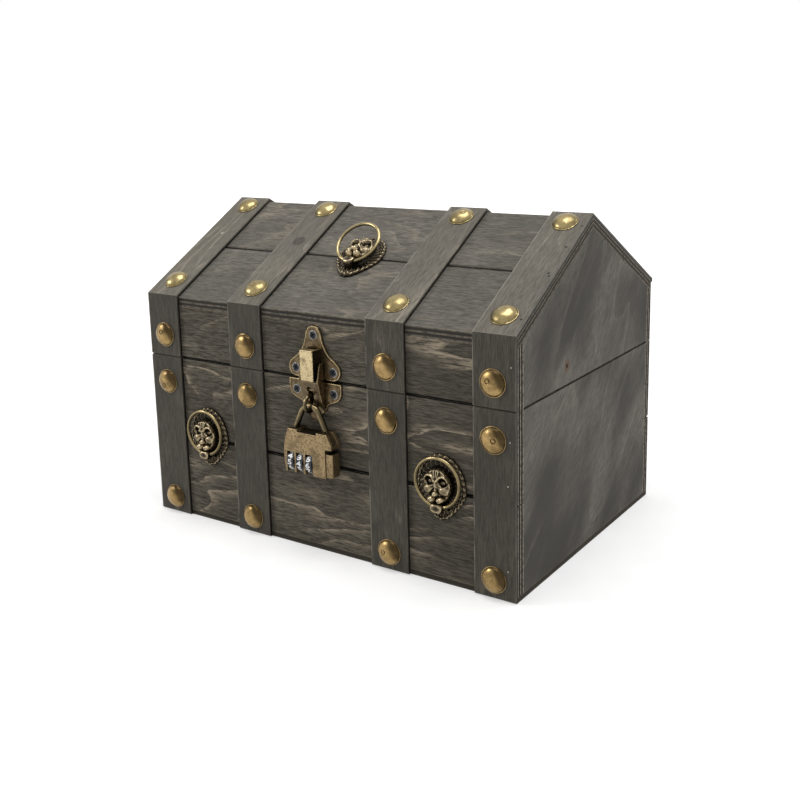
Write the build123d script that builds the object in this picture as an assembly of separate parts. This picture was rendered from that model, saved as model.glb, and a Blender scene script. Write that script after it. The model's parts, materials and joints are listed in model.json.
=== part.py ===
from build123d import *
from math import acos, atan2, cos, hypot, radians, sin, tan
import os

# Treasure chest box with a gabled lid, flat wooden straps, ring pulls, a draw latch and a padlock.
# Millimetres. The origin is the middle of the underside, X to the right, Y to the back, Z up.

os.makedirs("parts", exist_ok=True)

# Size of the chest over its straps
width = 240.0
depth = 170.0
height = 180.0
seam_height = 96.0
eave_height = 132.7

# Wood
wall = 6.0
roof_board = 5.0
bottom_board = 3.0
plank_gap = 0.8
plank_edge = 0.4
edge_pick = 0.04
seam_gap = 0.3
body_gap_share = 0.50
roof_gap_share = 0.48

# Straps and their nails
strap_width = 23.0
strap_thickness = 2.0
strap_edge = 0.6
stud_diameter = 14.0
stud_height = 3.6
stud_shank_diameter = 2.0
stud_shank_length = 5.0
stud_low_height = 10.0
stud_high_drop = 15.0
stud_lid_share = 0.3542
stud_eave_inset = 13.2
stud_ridge_inset = 9.2
outer_stud_inset = 0.5
overrun = 1.0

# Ring pulls: a cast lion's head with a ring in its jaw
plate_width = 29.0
plate_height = 35.0
plate_thickness = 1.4
head_width = 16.4
head_height = 19.0
head_depth = 6.0
head_rise = 1.5
jaw_width = 4.8
jaw_height = 4.8
jaw_depth = 7.4
jaw_edge = 1.0
ring_radius = 12.6
ring_wire = 1.9
ring_clearance = 0.4
ring_offset = 5.0
ring_drop = 9.2
pull_side_share = 0.09025
pull_aside = 0.7
pull_rise = 1.9
roof_pull_x = 2.0
roof_pull_drop = 0.5826
roof_ring_tilt = 16.8
pull_screw_diameter = 3.0
pull_screw_head = 6.0
pull_screw_head_height = 1.6
pull_screw_bite = 2.6
cross_width_share = 0.20
cross_length_share = 0.67

# Butt hinges with a stop
hinge_spread = 70.0
leaf_width = 26.0
leaf_height = 13.0
leaf_thickness = 1.0
knuckle_diameter = 4.0
knuckle_offset = 2.2
knuckle_count = 3
knuckle_gap = 0.2
knuckle_room = 0.3
hinge_pin_diameter = 2.0
running_clearance = 0.05
stop_width = 1.6
stop_reach = 6.5
stop_depth = 7.0
stop_gap = 0.15
stop_start = 2.8
stop_drop = 2.6
stop_nose = 1.5
hinge_screw_share = 0.62
lid_opening = 105.0
small_screw_diameter = 1.6
small_screw_length = 4.5
small_screw_head = 3.2
small_screw_head_height = 0.7

# Latch plates
latch_x = 1.0
latch_plate = 1.2
catch_top_radius = 5.0
catch_lobe_radius = 4.7
catch_lobe_spread = 12.3
catch_length = 28.5
plate_seam_gap = 0.4
base_half_width = 17.3
base_height = 10.2
base_corner = 4.6
base_lobe_radius = 8.4
base_lobe_drop = 10.6
latch_screw_diameter = 2.2
latch_screw_length = 5.6
latch_screw_head = 4.9
latch_screw_head_height = 0.9
latch_screw_recess = 0.5
base_screw_drop = 6.0
catch_tab_width = 6.0
catch_tab_depth = 2.3
catch_tab_thickness = 1.2
catch_tab_rise = 14.9

# Staple ring on the base plate
staple_radius = 4.3
staple_wire = 2.0
staple_drop = 11.7
staple_sink = 0.5

# Lever
lever_sheet = 0.8
lever_half_width = 6.4
lever_top_rise = 0.3
lever_top_depth = 5.8
lever_foot_drop = 4.3
lever_foot_depth = 1.3
lever_tip_length = 5.8
lever_tip_half_width = 3.6
lever_tip_radius = 3.24
lever_shoulder_rise = 10.0
lever_shoulder_depth = 3.4
lever_back_gap = 0.4
lever_play = 4.0
keyhole_width = 3.4
keyhole_room = 0.1
keyhole_eye = 4.2
keyhole_eye_rise = 1.8
rivet_diameter = 1.8
rivet_drop = 2.0
rivet_depth = 1.7
rivet_head = 3.0
rivet_head_height = 0.6
lug_thickness = 1.0
lug_side_gap = 0.2
lug_radius = 1.5

# Draw hook on the lever
hook_pin_diameter = 1.4
hook_pin_drop = 2.7
hook_pin_depth = 2.2
hook_barrel = 2.2
hook_arm_width = 6.6
hook_arm_thickness = 1.0
hook_width = 8.6
hook_bottom_rise = 0.9
hook_length = 16.4
hook_depth = 6.8
hook_sheet = 0.9
hook_lip_gap = 0.3
hook_back_gap = 0.5

# Padlock
lock_width = 32.0
lock_height = 24.4
lock_thickness = 8.6
lock_top_width = 25.6
lock_bulge = 1.2
lock_waist_share = 0.75
lock_belly_share = 0.5
lock_edge = 0.7
lock_notch_width = 13.0
lock_notch_depth = 1.4
shackle_wire = 3.2
shackle_crown_radius = 6.5
shackle_span = 19.2
shackle_rise = 12.6
shackle_foot_above = 1.0
shackle_bend_radius = 3.0
shackle_free_depth = 6.0
shackle_clearance = 0.2
shackle_slot_room = 0.35
heel_pin_diameter = 1.8
heel_pin_depth = 2.8
heel_length = 1.6
heel_room = 0.3
lock_opening = 35.0
lock_opening_room = 1.0

# Padlock dials and release slider
dial_diameter = 10.8
dial_width = 4.4
dial_count = 3
dial_pitch = 6.1
dial_first_x = -11.3
dial_rise = 5.9
dial_room = 0.3
dial_edge = 0.4
axle_diameter = 1.8
axle_wall = 1.0
slider_width = 4.0
slider_height = 12.8
slider_lift = 0.8
slider_room = 0.2
slider_edge = 1.4
slider_above = 2.6
tongue_width = 2.2
tongue_thickness = 2.4
tongue_height = 7.6
side_inset = 0.5

# Places worked out from the sizes above
half_width = width / 2
half_depth = depth / 2
board_face = half_depth - strap_thickness
inner_face = board_face - wall
slope = atan2(height - eave_height, half_depth)
lid_bottom = seam_height + seam_gap
hinge_y = board_face + knuckle_offset
hinge_z = seam_height + seam_gap / 2
plate_front = -board_face - latch_plate
roof_gap_y = half_depth * roof_gap_share
roof_pull_inset = (half_depth - roof_gap_y) / cos(slope) - roof_pull_drop
stud_high_height = seam_height - stud_high_drop
stud_lid_height = seam_height + (eave_height - seam_height) * stud_lid_share
staple_height = seam_height - staple_drop
staple_reach = staple_radius + staple_wire / 2
keyhole_bottom = staple_height - staple_reach - keyhole_room
keyhole_eye_height = staple_height + staple_reach + keyhole_eye_rise
lever_top = seam_height + lever_top_rise
lever_foot = staple_height - lever_foot_drop
lever_tip = lever_foot - lever_tip_length
lever_shoulder = seam_height + lever_shoulder_rise
rivet_height = seam_height - rivet_drop
hook_pin_height = rivet_height - hook_pin_drop
hook_bottom = seam_height + hook_bottom_rise
hook_top = hook_bottom + hook_length
body_gap_z = seam_height * body_gap_share + bottom_board / 2
free_width = width - 4 * strap_width - 2 * plate_width - 2 * base_half_width
pull_bay = plate_width + 2 * free_width * pull_side_share
outer_strap_x = half_width - strap_width / 2
inner_strap_x = outer_strap_x - strap_width - pull_bay
pull_spread = (outer_strap_x + inner_strap_x) / 2 + pull_aside
pull_height = body_gap_z + pull_rise
strap_places = {
    "far_left": -outer_strap_x,
    "left": -inner_strap_x,
    "right": inner_strap_x,
    "far_right": outer_strap_x,
}
stud_xs = [
    -outer_strap_x + outer_stud_inset,
    -inner_strap_x,
    inner_strap_x,
    outer_strap_x - outer_stud_inset,
]


def save(solid, name):
    """Write one sub-part as a STEP file."""
    if isinstance(solid, (list, ShapeList)):
        solid = Compound(children=list(solid))
    solid.label = name
    export_step(solid, f"parts/{name}.step")


def block(x0, x1, y0, y1, z0, z1):
    """A box between two values on each axis."""
    size = (x1 - x0, y1 - y0, z1 - z0)
    middle = ((x0 + x1) / 2, (y0 + y1) / 2, (z0 + z1) / 2)
    return Pos(*middle) * Box(*size)


def across(points, x0, x1):
    """A profile of (y, z) points, run along X from x0 to x1."""
    face = make_face(Polyline([(x0, y, z) for y, z in points], close=True))
    return extrude(face, amount=x1 - x0, dir=(1, 0, 0))


def rod_x(x0, x1, y, z, diameter):
    """A rod along X."""
    return Pos((x0 + x1) / 2, y, z) * Rot(0, 90, 0) * Cylinder(diameter / 2, x1 - x0)


def rod_y(y0, y1, x, z, diameter):
    """A rod along Y."""
    return Pos(x, (y0 + y1) / 2, z) * Rot(90, 0, 0) * Cylinder(diameter / 2, y1 - y0)


def roof_z(y, below):
    """Height of the roof at y, at a distance square to it below the strap's face."""
    return height - abs(y) * tan(slope) - below / cos(slope)


def roof_plane(x, inset, below):
    """A plane on the front slope, at a distance up from the eave, facing out."""
    y = -half_depth + inset * cos(slope)
    return Plane(
        origin=(x, y, roof_z(y, below)), x_dir=(1, 0, 0), z_dir=(0, -sin(slope), cos(slope))
    )


def front_plane(x, z, forward=0):
    """A plane on the front boards, facing out."""
    return Plane(origin=(x, -board_face - forward, z), x_dir=(1, 0, 0), z_dir=(0, -1, 0))


def back_plane(x, z, backward=0):
    """A plane on the back boards, facing out."""
    return Plane(origin=(x, board_face + backward, z), x_dir=(-1, 0, 0), z_dir=(0, 1, 0))


def placed(plane, solid):
    """A solid made at the origin, moved onto a plane with its Z along the plane's."""
    return plane.location * solid


def cut(solid, tools):
    """Take each tool that meets the solid out of it."""
    for tool in tools:
        solid = solid - tool
    return solid


# Studs: a domed head on a shank, made at the origin with the head up
def stud():
    radius = stud_diameter / 2
    ball = (radius**2 + stud_height**2) / (2 * stud_height)
    dome = Pos(0, 0, stud_height - ball) * Sphere(ball)
    keep = Pos(0, 0, stud_height) * Box(stud_diameter * 2, stud_diameter * 2, stud_height * 2)
    return dome & keep


def stud_shank():
    return Pos(0, 0, -stud_shank_length / 2) * Cylinder(stud_shank_diameter / 2, stud_shank_length)


def stud_planes_body():
    rows = (stud_low_height, stud_high_height)
    return [front_plane(x, z, strap_thickness) for x in stud_xs for z in rows]


def stud_planes_lid():
    return [front_plane(x, stud_lid_height, strap_thickness) for x in stud_xs]


def stud_planes_roof():
    slope_length = half_depth / cos(slope)
    insets = (stud_eave_inset, slope_length - stud_ridge_inset)
    return [roof_plane(x, inset, 0) for x in stud_xs for inset in insets]


def studs(planes):
    return [placed(plane, stud() + stud_shank()) for plane in planes]


def stud_holes(planes):
    return [placed(plane, stud_shank()) for plane in planes]


body_stud_holes = stud_holes(stud_planes_body())
lid_stud_holes = stud_holes(stud_planes_lid())
roof_stud_holes = stud_holes(stud_planes_roof())


# Screws, made at the origin with the head up and its seat at zero
def screw(shank, length, head, head_height):
    body = Pos(0, 0, -length / 2) * Cylinder(shank / 2, length)
    top = Pos(0, 0, head_height / 2) * Cylinder(head / 2, head_height)
    arm = head * cross_width_share
    reach = head * cross_length_share
    slot = Box(reach, arm, head_height) + Box(arm, reach, head_height)
    return body + (top - Pos(0, 0, head_height) * slot)


def screw_hole(shank, length):
    return Pos(0, 0, -length / 2) * Cylinder(shank / 2, length)


def latch_screw():
    return screw(
        latch_screw_diameter, latch_screw_length, latch_screw_head, latch_screw_head_height
    )


def small_screw():
    return screw(
        small_screw_diameter, small_screw_length, small_screw_head, small_screw_head_height
    )


def seat(plane):
    """The plane lowered by the recess that a latch screw's head sits in."""
    return plane.offset(-latch_screw_recess)


def latch_screw_cut(plane):
    """The recess and the hole that a latch screw needs."""
    recess = Pos(0, 0, latch_screw_recess) * Cylinder(
        latch_screw_head / 2, latch_screw_recess * 2
    )
    hole = screw_hole(latch_screw_diameter, latch_screw_length)
    return [placed(seat(plane), recess), placed(seat(plane), hole)]


catch_z = lid_bottom + plate_seam_gap + catch_lobe_radius
catch_top_z = lid_bottom + plate_seam_gap + catch_length - catch_top_radius
base_top_z = seam_height - plate_seam_gap
catch_screw_planes = [
    front_plane(latch_x + x, z, latch_plate)
    for x, z in (
        (-catch_lobe_spread, catch_z),
        (catch_lobe_spread, catch_z),
        (0, catch_top_z),
    )
]
base_screw_planes = [
    front_plane(latch_x + side * catch_lobe_spread, base_top_z - base_screw_drop, latch_plate)
    for side in (-1, 1)
]
catch_screw_cuts = [c for p in catch_screw_planes for c in latch_screw_cut(p)]
base_screw_cuts = [c for p in base_screw_planes for c in latch_screw_cut(p)]


# Planes of the pulls, on the boards, with Y up the board
pull_planes = {
    "left": front_plane(-pull_spread, pull_height),
    "right": front_plane(pull_spread, pull_height),
    "roof": roof_plane(roof_pull_x, roof_pull_inset, strap_thickness),
}


def pull_screw(board):
    """A screw from the inside of a board into the back of a pull, pull side up."""
    length = board + pull_screw_bite
    shank = Pos(0, 0, pull_screw_bite - length / 2) * Cylinder(pull_screw_diameter / 2, length)
    head_z = -board - pull_screw_head_height / 2
    head = Pos(0, 0, head_z) * Cylinder(pull_screw_head / 2, pull_screw_head_height)
    return shank + head


def pull_screw_hole(board):
    length = board + pull_screw_bite
    return Pos(0, 0, pull_screw_bite - length / 2) * Cylinder(pull_screw_diameter / 2, length)


pull_boards = {"left": wall, "right": wall, "roof": roof_board}
pull_shift = Pos(0, head_rise + head_height / 4, 0)
pull_holes = {
    name: placed(plane, pull_shift * pull_screw_hole(pull_boards[name]))
    for name, plane in pull_planes.items()
}


# Hinge screw places: two on each leaf
hinge_xs = {"left": -hinge_spread, "right": hinge_spread}
hinge_screw_x = leaf_width / 4
hinge_screw_z = leaf_height * hinge_screw_share


def hinge_screw_planes(x, side):
    """Planes of a leaf's two screws; side is 1 on the lid and -1 on the body."""
    z = hinge_z + side * hinge_screw_z
    return [back_plane(x + s * hinge_screw_x, z, leaf_thickness) for s in (-1, 1)]


def hinge_holes(side):
    return [
        placed(plane, screw_hole(small_screw_diameter, small_screw_length))
        for x in hinge_xs.values()
        for plane in hinge_screw_planes(x, side)
    ]


# Wooden body: bottom, two planks at the front and the back, two ends
def wall_planks(y0, y1, holes):
    """Two planks, one over the other, with a gap between them and eased edges there."""
    low = block(-half_width, half_width, y0, y1, bottom_board, body_gap_z - plank_gap / 2)
    high = block(-half_width, half_width, y0, y1, body_gap_z + plank_gap / 2, seam_height)
    outer = min(y0, y1) if abs(y0) > abs(y1) else max(y0, y1)
    low = chamfer(edges_at(low, outer, [body_gap_z - plank_gap / 2]), plank_edge)
    high = chamfer(edges_at(high, outer, [body_gap_z + plank_gap / 2, seam_height]), plank_edge)
    return cut(low, holes), cut(high, holes)


def edges_at(solid, y, heights):
    """Edges along X at one y and at the given heights."""
    found = [
        e
        for e in solid.edges().filter_by(Axis.X)
        if abs(e.center().Y - y) < edge_pick
        and min(abs(e.center().Z - z) for z in heights) < edge_pick
    ]
    return ShapeList(found)


front_holes = body_stud_holes + base_screw_cuts + [pull_holes["left"], pull_holes["right"]]
save(
    block(-half_width, half_width, -board_face, board_face, 0, bottom_board), "bottom_panel"
)
front_low, front_high = wall_planks(-board_face, -inner_face, front_holes)
save(front_low, "body_front_lower_plank")
save(front_high, "body_front_upper_plank")
back_low, back_high = wall_planks(inner_face, board_face, hinge_holes(-1))
save(back_low, "body_back_lower_plank")
save(back_high, "body_back_upper_plank")


def end_panel(side, z0, profile):
    """An end panel, with its upper or lower outer edge at the seam eased."""
    x0 = side * half_width if side < 0 else half_width - wall
    panel = across(profile, x0, x0 + wall)
    seam_edges = [
        e
        for e in panel.edges().filter_by(Axis.Y)
        if abs(e.center().Z - z0) < edge_pick and abs(abs(e.center().X) - half_width) < edge_pick
    ]
    return chamfer(ShapeList(seam_edges), plank_edge)


body_end = [
    (-inner_face, bottom_board),
    (inner_face, bottom_board),
    (inner_face, seam_height),
    (-inner_face, seam_height),
]
under_roof = strap_thickness + roof_board
lid_end = [
    (-inner_face, lid_bottom),
    (inner_face, lid_bottom),
    (inner_face, roof_z(inner_face, under_roof)),
    (0, roof_z(0, under_roof)),
    (-inner_face, roof_z(inner_face, under_roof)),
]
for side, name in ((-1, "left"), (1, "right")):
    save(end_panel(side, seam_height, body_end), f"body_{name}_end_panel")
    save(end_panel(side, lid_bottom, lid_end), f"lid_{name}_end_panel")


# Wooden lid: front and back boards under the roof, two planks on each slope
def lid_board(side, holes):
    """The lid's front board for side -1, its back board for side 1."""
    profile = [
        (side * board_face, lid_bottom),
        (side * inner_face, lid_bottom),
        (side * inner_face, roof_z(inner_face, under_roof)),
        (side * board_face, roof_z(board_face, under_roof)),
    ]
    board = across(profile, -half_width, half_width)
    board = chamfer(edges_at(board, side * board_face, [lid_bottom]), plank_edge)
    return cut(board, holes)


def roof_plank(side, y0, y1, holes):
    """A plank of one slope between two distances from the ridge line, cut upright."""
    profile = [
        (side * y0, roof_z(y0, strap_thickness)),
        (side * y1, roof_z(y1, strap_thickness)),
        (side * y1, roof_z(y1, under_roof)),
        (side * y0, roof_z(y0, under_roof)),
    ]
    plank = across(profile, -half_width, half_width)
    gap_y = y0 if y0 > 0 else y1
    plank = chamfer(edges_at(plank, side * gap_y, [roof_z(gap_y, strap_thickness)]), plank_edge)
    return cut(plank, holes)


catch_cuts = lid_stud_holes + catch_screw_cuts
save(lid_board(-1, catch_cuts), "lid_front_board")
save(lid_board(1, hinge_holes(1)), "lid_back_board")
lower_start = roof_gap_y + plank_gap / 2
upper_end = roof_gap_y - plank_gap / 2
roof_holes = roof_stud_holes + [pull_holes["roof"]]
save(roof_plank(-1, lower_start, board_face, roof_holes), "roof_front_lower_plank")
save(roof_plank(-1, 0, upper_end, roof_holes), "roof_front_upper_plank")
save(roof_plank(1, lower_start, board_face, []), "roof_back_lower_plank")
save(roof_plank(1, 0, upper_end, []), "roof_back_upper_plank")


# Straps: thin strips of wood up the body, up the lid's front and along each slope
def body_strap(x):
    strap = block(
        x - strap_width / 2, x + strap_width / 2, -half_depth, -board_face, 0, seam_height
    )
    foot = strap.edges().filter_by(Axis.X).group_by(Axis.Z)[0].sort_by(Axis.Y)[0]
    strap = fillet(foot, strap_edge * 2)
    top = strap.edges().filter_by(Axis.X).group_by(Axis.Z)[-1].sort_by(Axis.Y)[0]
    strap = chamfer(top, strap_edge)
    return cut(strap, body_stud_holes)


def strip(x, profile, holes):
    return cut(across(profile, x - strap_width / 2, x + strap_width / 2), holes)


def lid_front_strap(x):
    """From the seam to the eave, mitred against the roof's strap."""
    profile = [
        (-half_depth, lid_bottom + strap_edge),
        (-half_depth, eave_height),
        (-board_face, roof_z(board_face, strap_thickness)),
        (-board_face, lid_bottom),
        (-half_depth + strap_edge, lid_bottom),
    ]
    return strip(x, profile, lid_stud_holes)


def roof_strap(x):
    """From the mitre at the front eave up to the ridge."""
    profile = [
        (-half_depth, eave_height),
        (0, height),
        (0, roof_z(0, strap_thickness)),
        (-board_face, roof_z(board_face, strap_thickness)),
    ]
    return strip(x, profile, roof_stud_holes)


def roof_back_strap(x):
    """From the ridge down to an upright end just past the back eave."""
    profile = [
        (0, height),
        (half_depth, eave_height),
        (half_depth, roof_z(half_depth, strap_thickness)),
        (0, roof_z(0, strap_thickness)),
    ]
    return strip(x, profile, [])


for name, x in strap_places.items():
    save(body_strap(x), f"body_strap_{name}")
    save(roof_strap(x), f"roof_strap_{name}")
save([lid_front_strap(x) for x in strap_places.values()], "lid_front_straps")
save([roof_back_strap(x) for x in strap_places.values()], "roof_back_straps")
save(studs(stud_planes_body()), "body_studs")
save(studs(stud_planes_lid()), "lid_front_studs")
save(studs(stud_planes_roof()), "roof_studs")


# Ring pulls
def pull_outline():
    """The mane's outline: broad at the brow, drawn in to the beard."""
    half = plate_width / 2
    top = plate_height / 2
    side_shares = [(0.0, 1.0), (0.50, 0.93), (0.86, 0.62), (1.0, 0.14), (0.90, -0.34)]
    low_shares = [(0.62, -0.72), (0.30, -0.93), (0.0, -1.0)]
    right = [(half * x, top * y) for x, y in side_shares + low_shares]
    left = [(-x, y) for x, y in reversed(right[1:-1])]
    return Spline(right + left, periodic=True)


def lion_plate():
    """The cast head on its plate, with a bored jaw that holds the ring."""
    plate = extrude(make_face(pull_outline()), amount=plate_thickness)
    ball = scale(Sphere(1), by=(head_width / 2, head_height / 2, head_depth))
    head = Pos(0, head_rise, 0) * ball
    upper = Pos(0, 0, head_depth) * Box(plate_width, plate_height, head_depth * 2)
    jaw = Pos(0, -ring_drop, jaw_depth / 2) * Box(jaw_width, jaw_height, jaw_depth)
    jaw = fillet(jaw.edges().group_by(Axis.Z)[-1], jaw_edge)
    bore = rod_x(-jaw_width, jaw_width, -ring_drop, ring_offset, ring_wire + 2 * ring_clearance)
    return plate + (head & upper) + jaw - bore


def pull_ring(tilt):
    """The ring, up over the face at tilt zero."""
    hoop = Pos(0, ring_radius, 0) * Torus(ring_radius, ring_wire / 2)
    return Pos(0, -ring_drop, ring_offset) * Rot(tilt, 0, 0) * hoop


for name, plane in pull_planes.items():
    tilt = roof_ring_tilt if name == "roof" else 0
    board = pull_boards[name]
    save(placed(plane, lion_plate() - pull_shift * pull_screw_hole(board)), f"lion_plate_{name}")
    save(placed(plane, pull_ring(tilt)), f"pull_ring_{name}")
save(
    [placed(pull_planes[n], pull_shift * pull_screw(wall)) for n in ("left", "right")],
    "lion_screws_front",
)
save(placed(pull_planes["roof"], pull_shift * pull_screw(roof_board)), "lion_screw_roof")


# Hinges: two leaves, a pin, and an ear at each end that the lid's leaf comes to rest on
knuckle_length = leaf_width / knuckle_count


def knuckle(x, middle, bore):
    """The middle knuckle, or the two outer ones, with a bore for the pin."""
    half = knuckle_length / 2 - knuckle_gap / 2
    spans = [(x - half, x + half)]
    if not middle:
        outer = leaf_width / 2
        inner = knuckle_length / 2 + knuckle_gap / 2
        spans = [(x - outer, x - inner), (x + inner, x + outer)]
    barrel = [rod_x(a, b, hinge_y, hinge_z, knuckle_diameter) for a, b in spans]
    tool = rod_x(x - leaf_width, x + leaf_width, hinge_y, hinge_z, bore)
    return [b - tool for b in barrel]


def leaf(x, side, middle, bore):
    """One leaf; side is 1 on the lid and -1 on the body."""
    half = leaf_width / 2
    ends = half + stop_width + stop_gap
    near = hinge_z
    far = hinge_z + side * leaf_height
    plate = block(
        x - ends, x + ends, board_face, board_face + leaf_thickness, min(near, far), max(near, far)
    )
    room = knuckle_diameter + 2 * knuckle_room
    inner = knuckle_length / 2 + knuckle_gap / 2
    if middle:
        clear = [(x - ends - overrun, x - inner), (x + inner, x + ends + overrun)]
    else:
        clear = [(x - inner, x + inner)]
    for a, b in clear:
        plate = plate - rod_x(a, b, hinge_y, hinge_z, room)
    shift = side * seam_gap / 2
    trim = block(
        x - ends, x + ends, board_face, board_face + leaf_thickness,
        min(near, near + shift), max(near, near + shift),
    )
    plate = plate - trim
    for barrel in knuckle(x, middle, bore):
        plate = plate + barrel
    tool = rod_x(x - leaf_width, x + leaf_width, hinge_y, hinge_z, bore)
    holes = [
        placed(p, screw_hole(small_screw_diameter, small_screw_length))
        for p in hinge_screw_planes(x, side)
    ]
    return cut(plate - tool, holes)


def stop_ears(x):
    """Two ears of the body's leaf, whose sloped tops meet the opened lid's leaf."""
    face = hinge_y - board_face - leaf_thickness
    turn = radians(lid_opening)
    start_y = -face * cos(turn)
    start_z = face * sin(turn) - stop_gap
    ear_top = [
        (y, start_z + (y - start_y) / tan(turn)) for y in (stop_start, stop_reach)
    ]
    profile = [
        (-face, -stop_depth),
        (-face + leaf_thickness, -stop_depth),
        (stop_reach, ear_top[1][1] - stop_nose),
        ear_top[1],
        ear_top[0],
        (stop_start, -stop_drop),
        (-face, -stop_drop),
    ]
    points = [(hinge_y + y, hinge_z + z) for y, z in profile]
    half = leaf_width / 2 + stop_gap
    return [
        across(points, x - half - stop_width, x - half),
        across(points, x + half, x + half + stop_width),
    ]


for name, x in hinge_xs.items():
    lower = leaf(x, -1, False, hinge_pin_diameter)
    for ear in stop_ears(x):
        lower = lower + ear
    save(lower, f"hinge_body_leaf_{name}")
    save(
        leaf(x, 1, True, hinge_pin_diameter + 2 * running_clearance), f"hinge_lid_leaf_{name}"
    )
hinge_pins = [
    rod_x(x - leaf_width / 2, x + leaf_width / 2, hinge_y, hinge_z, hinge_pin_diameter)
    for x in hinge_xs.values()
]
save(hinge_pins, "hinge_pins")
for side, name in ((-1, "body"), (1, "lid")):
    save(
        [
            placed(plane, small_screw())
            for x in hinge_xs.values()
            for plane in hinge_screw_planes(x, side)
        ],
        f"hinge_{name}_screws",
    )


# Latch plates
def sheet(face, forward, thickness):
    """A flat outline in X and Z, pushed out from the front boards."""
    plane = front_plane(0, 0, forward)
    return placed(plane, extrude(face, amount=thickness))


def catch_plate():
    """A rounded triangle on the lid, with a tab that the hook draws down on."""
    low = [(latch_x + s * catch_lobe_spread, catch_z) for s in (-1, 1)]
    circles = [Pos(*p) * Circle(catch_lobe_radius) for p in low]
    circles.append(Pos(latch_x, catch_top_z) * Circle(catch_top_radius))
    outline = make_hull([e for c in circles for e in c.edges()])
    plate = sheet(outline, 0, latch_plate)
    z = lid_bottom + catch_tab_rise
    half = catch_tab_width / 2
    tab = block(
        latch_x - half, latch_x + half, plate_front - catch_tab_depth, plate_front,
        z - catch_tab_thickness, z,
    )
    return cut(plate + tab, catch_screw_cuts)


def base_plate():
    """The body's plate: two ears for screws, a lower lobe, and two lugs for the lever."""
    low = base_top_z - base_height
    ears = Pos(latch_x, (low + base_top_z) / 2) * Rectangle(2 * base_half_width, base_height)
    corners = ears.vertices().group_by(Axis.Y)[0]
    ears = fillet(corners, base_corner)
    lobe = Pos(latch_x, base_top_z - base_lobe_drop) * Circle(base_lobe_radius)
    plate = sheet(ears + lobe, 0, latch_plate)
    lug_x = lever_half_width - lever_sheet - lug_side_gap
    for side in (-1, 1):
        a = latch_x + side * lug_x
        b = a - side * lug_thickness
        y = plate_front - rivet_depth
        lug = rod_x(min(a, b), max(a, b), y, rivet_height, 2 * lug_radius)
        lug = lug + block(
            min(a, b), max(a, b), y, plate_front,
            rivet_height - lug_radius, rivet_height + lug_radius,
        )
        plate = plate + lug
    hole = rod_x(
        latch_x - lever_half_width, latch_x + lever_half_width,
        plate_front - rivet_depth, rivet_height, rivet_diameter,
    )
    return cut(plate - hole, base_screw_cuts)


save(catch_plate(), "latch_catch_plate")
save(base_plate(), "latch_base_plate")
save([placed(seat(p), latch_screw()) for p in catch_screw_planes], "latch_catch_screws")
save([placed(seat(p), latch_screw()) for p in base_screw_planes], "latch_base_screws")

# Staple: a wire ring standing out of the base plate
staple_y = plate_front - staple_reach + staple_sink
staple_ring = (
    Pos(latch_x, staple_y, staple_height)
    * Rot(0, 90, 0)
    * Torus(staple_radius, staple_wire / 2)
)
behind = block(
    -half_width, half_width, plate_front, 0, staple_height - 2 * staple_radius,
    staple_height + 2 * staple_radius,
)
save(staple_ring - behind, "latch_staple")

# Rivets that the lever turns on
rivet_y = plate_front - rivet_depth
rivets = []
for side in (-1, 1):
    a = latch_x + side * (lever_half_width - lever_sheet - lug_side_gap - lug_thickness)
    b = latch_x + side * (lever_half_width + lug_side_gap)
    c = b + side * rivet_head_height
    shank = rod_x(min(a, b), max(a, b), rivet_y, rivet_height, rivet_diameter)
    rivets.append(
        shank + rod_x(min(b, c), max(b, c), rivet_y, rivet_height, rivet_head)
    )
save(rivets, "lever_rivets")


# Lever: a channel, deep at the top and flat at the finger tongue
def lever_front(z, extra=0):
    """The y of the lever's face at a height, or a distance behind it."""
    share = (z - lever_foot) / (lever_top - lever_foot)
    ahead = lever_foot_depth + share * (lever_top_depth - lever_foot_depth)
    return plate_front - ahead + extra


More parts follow.
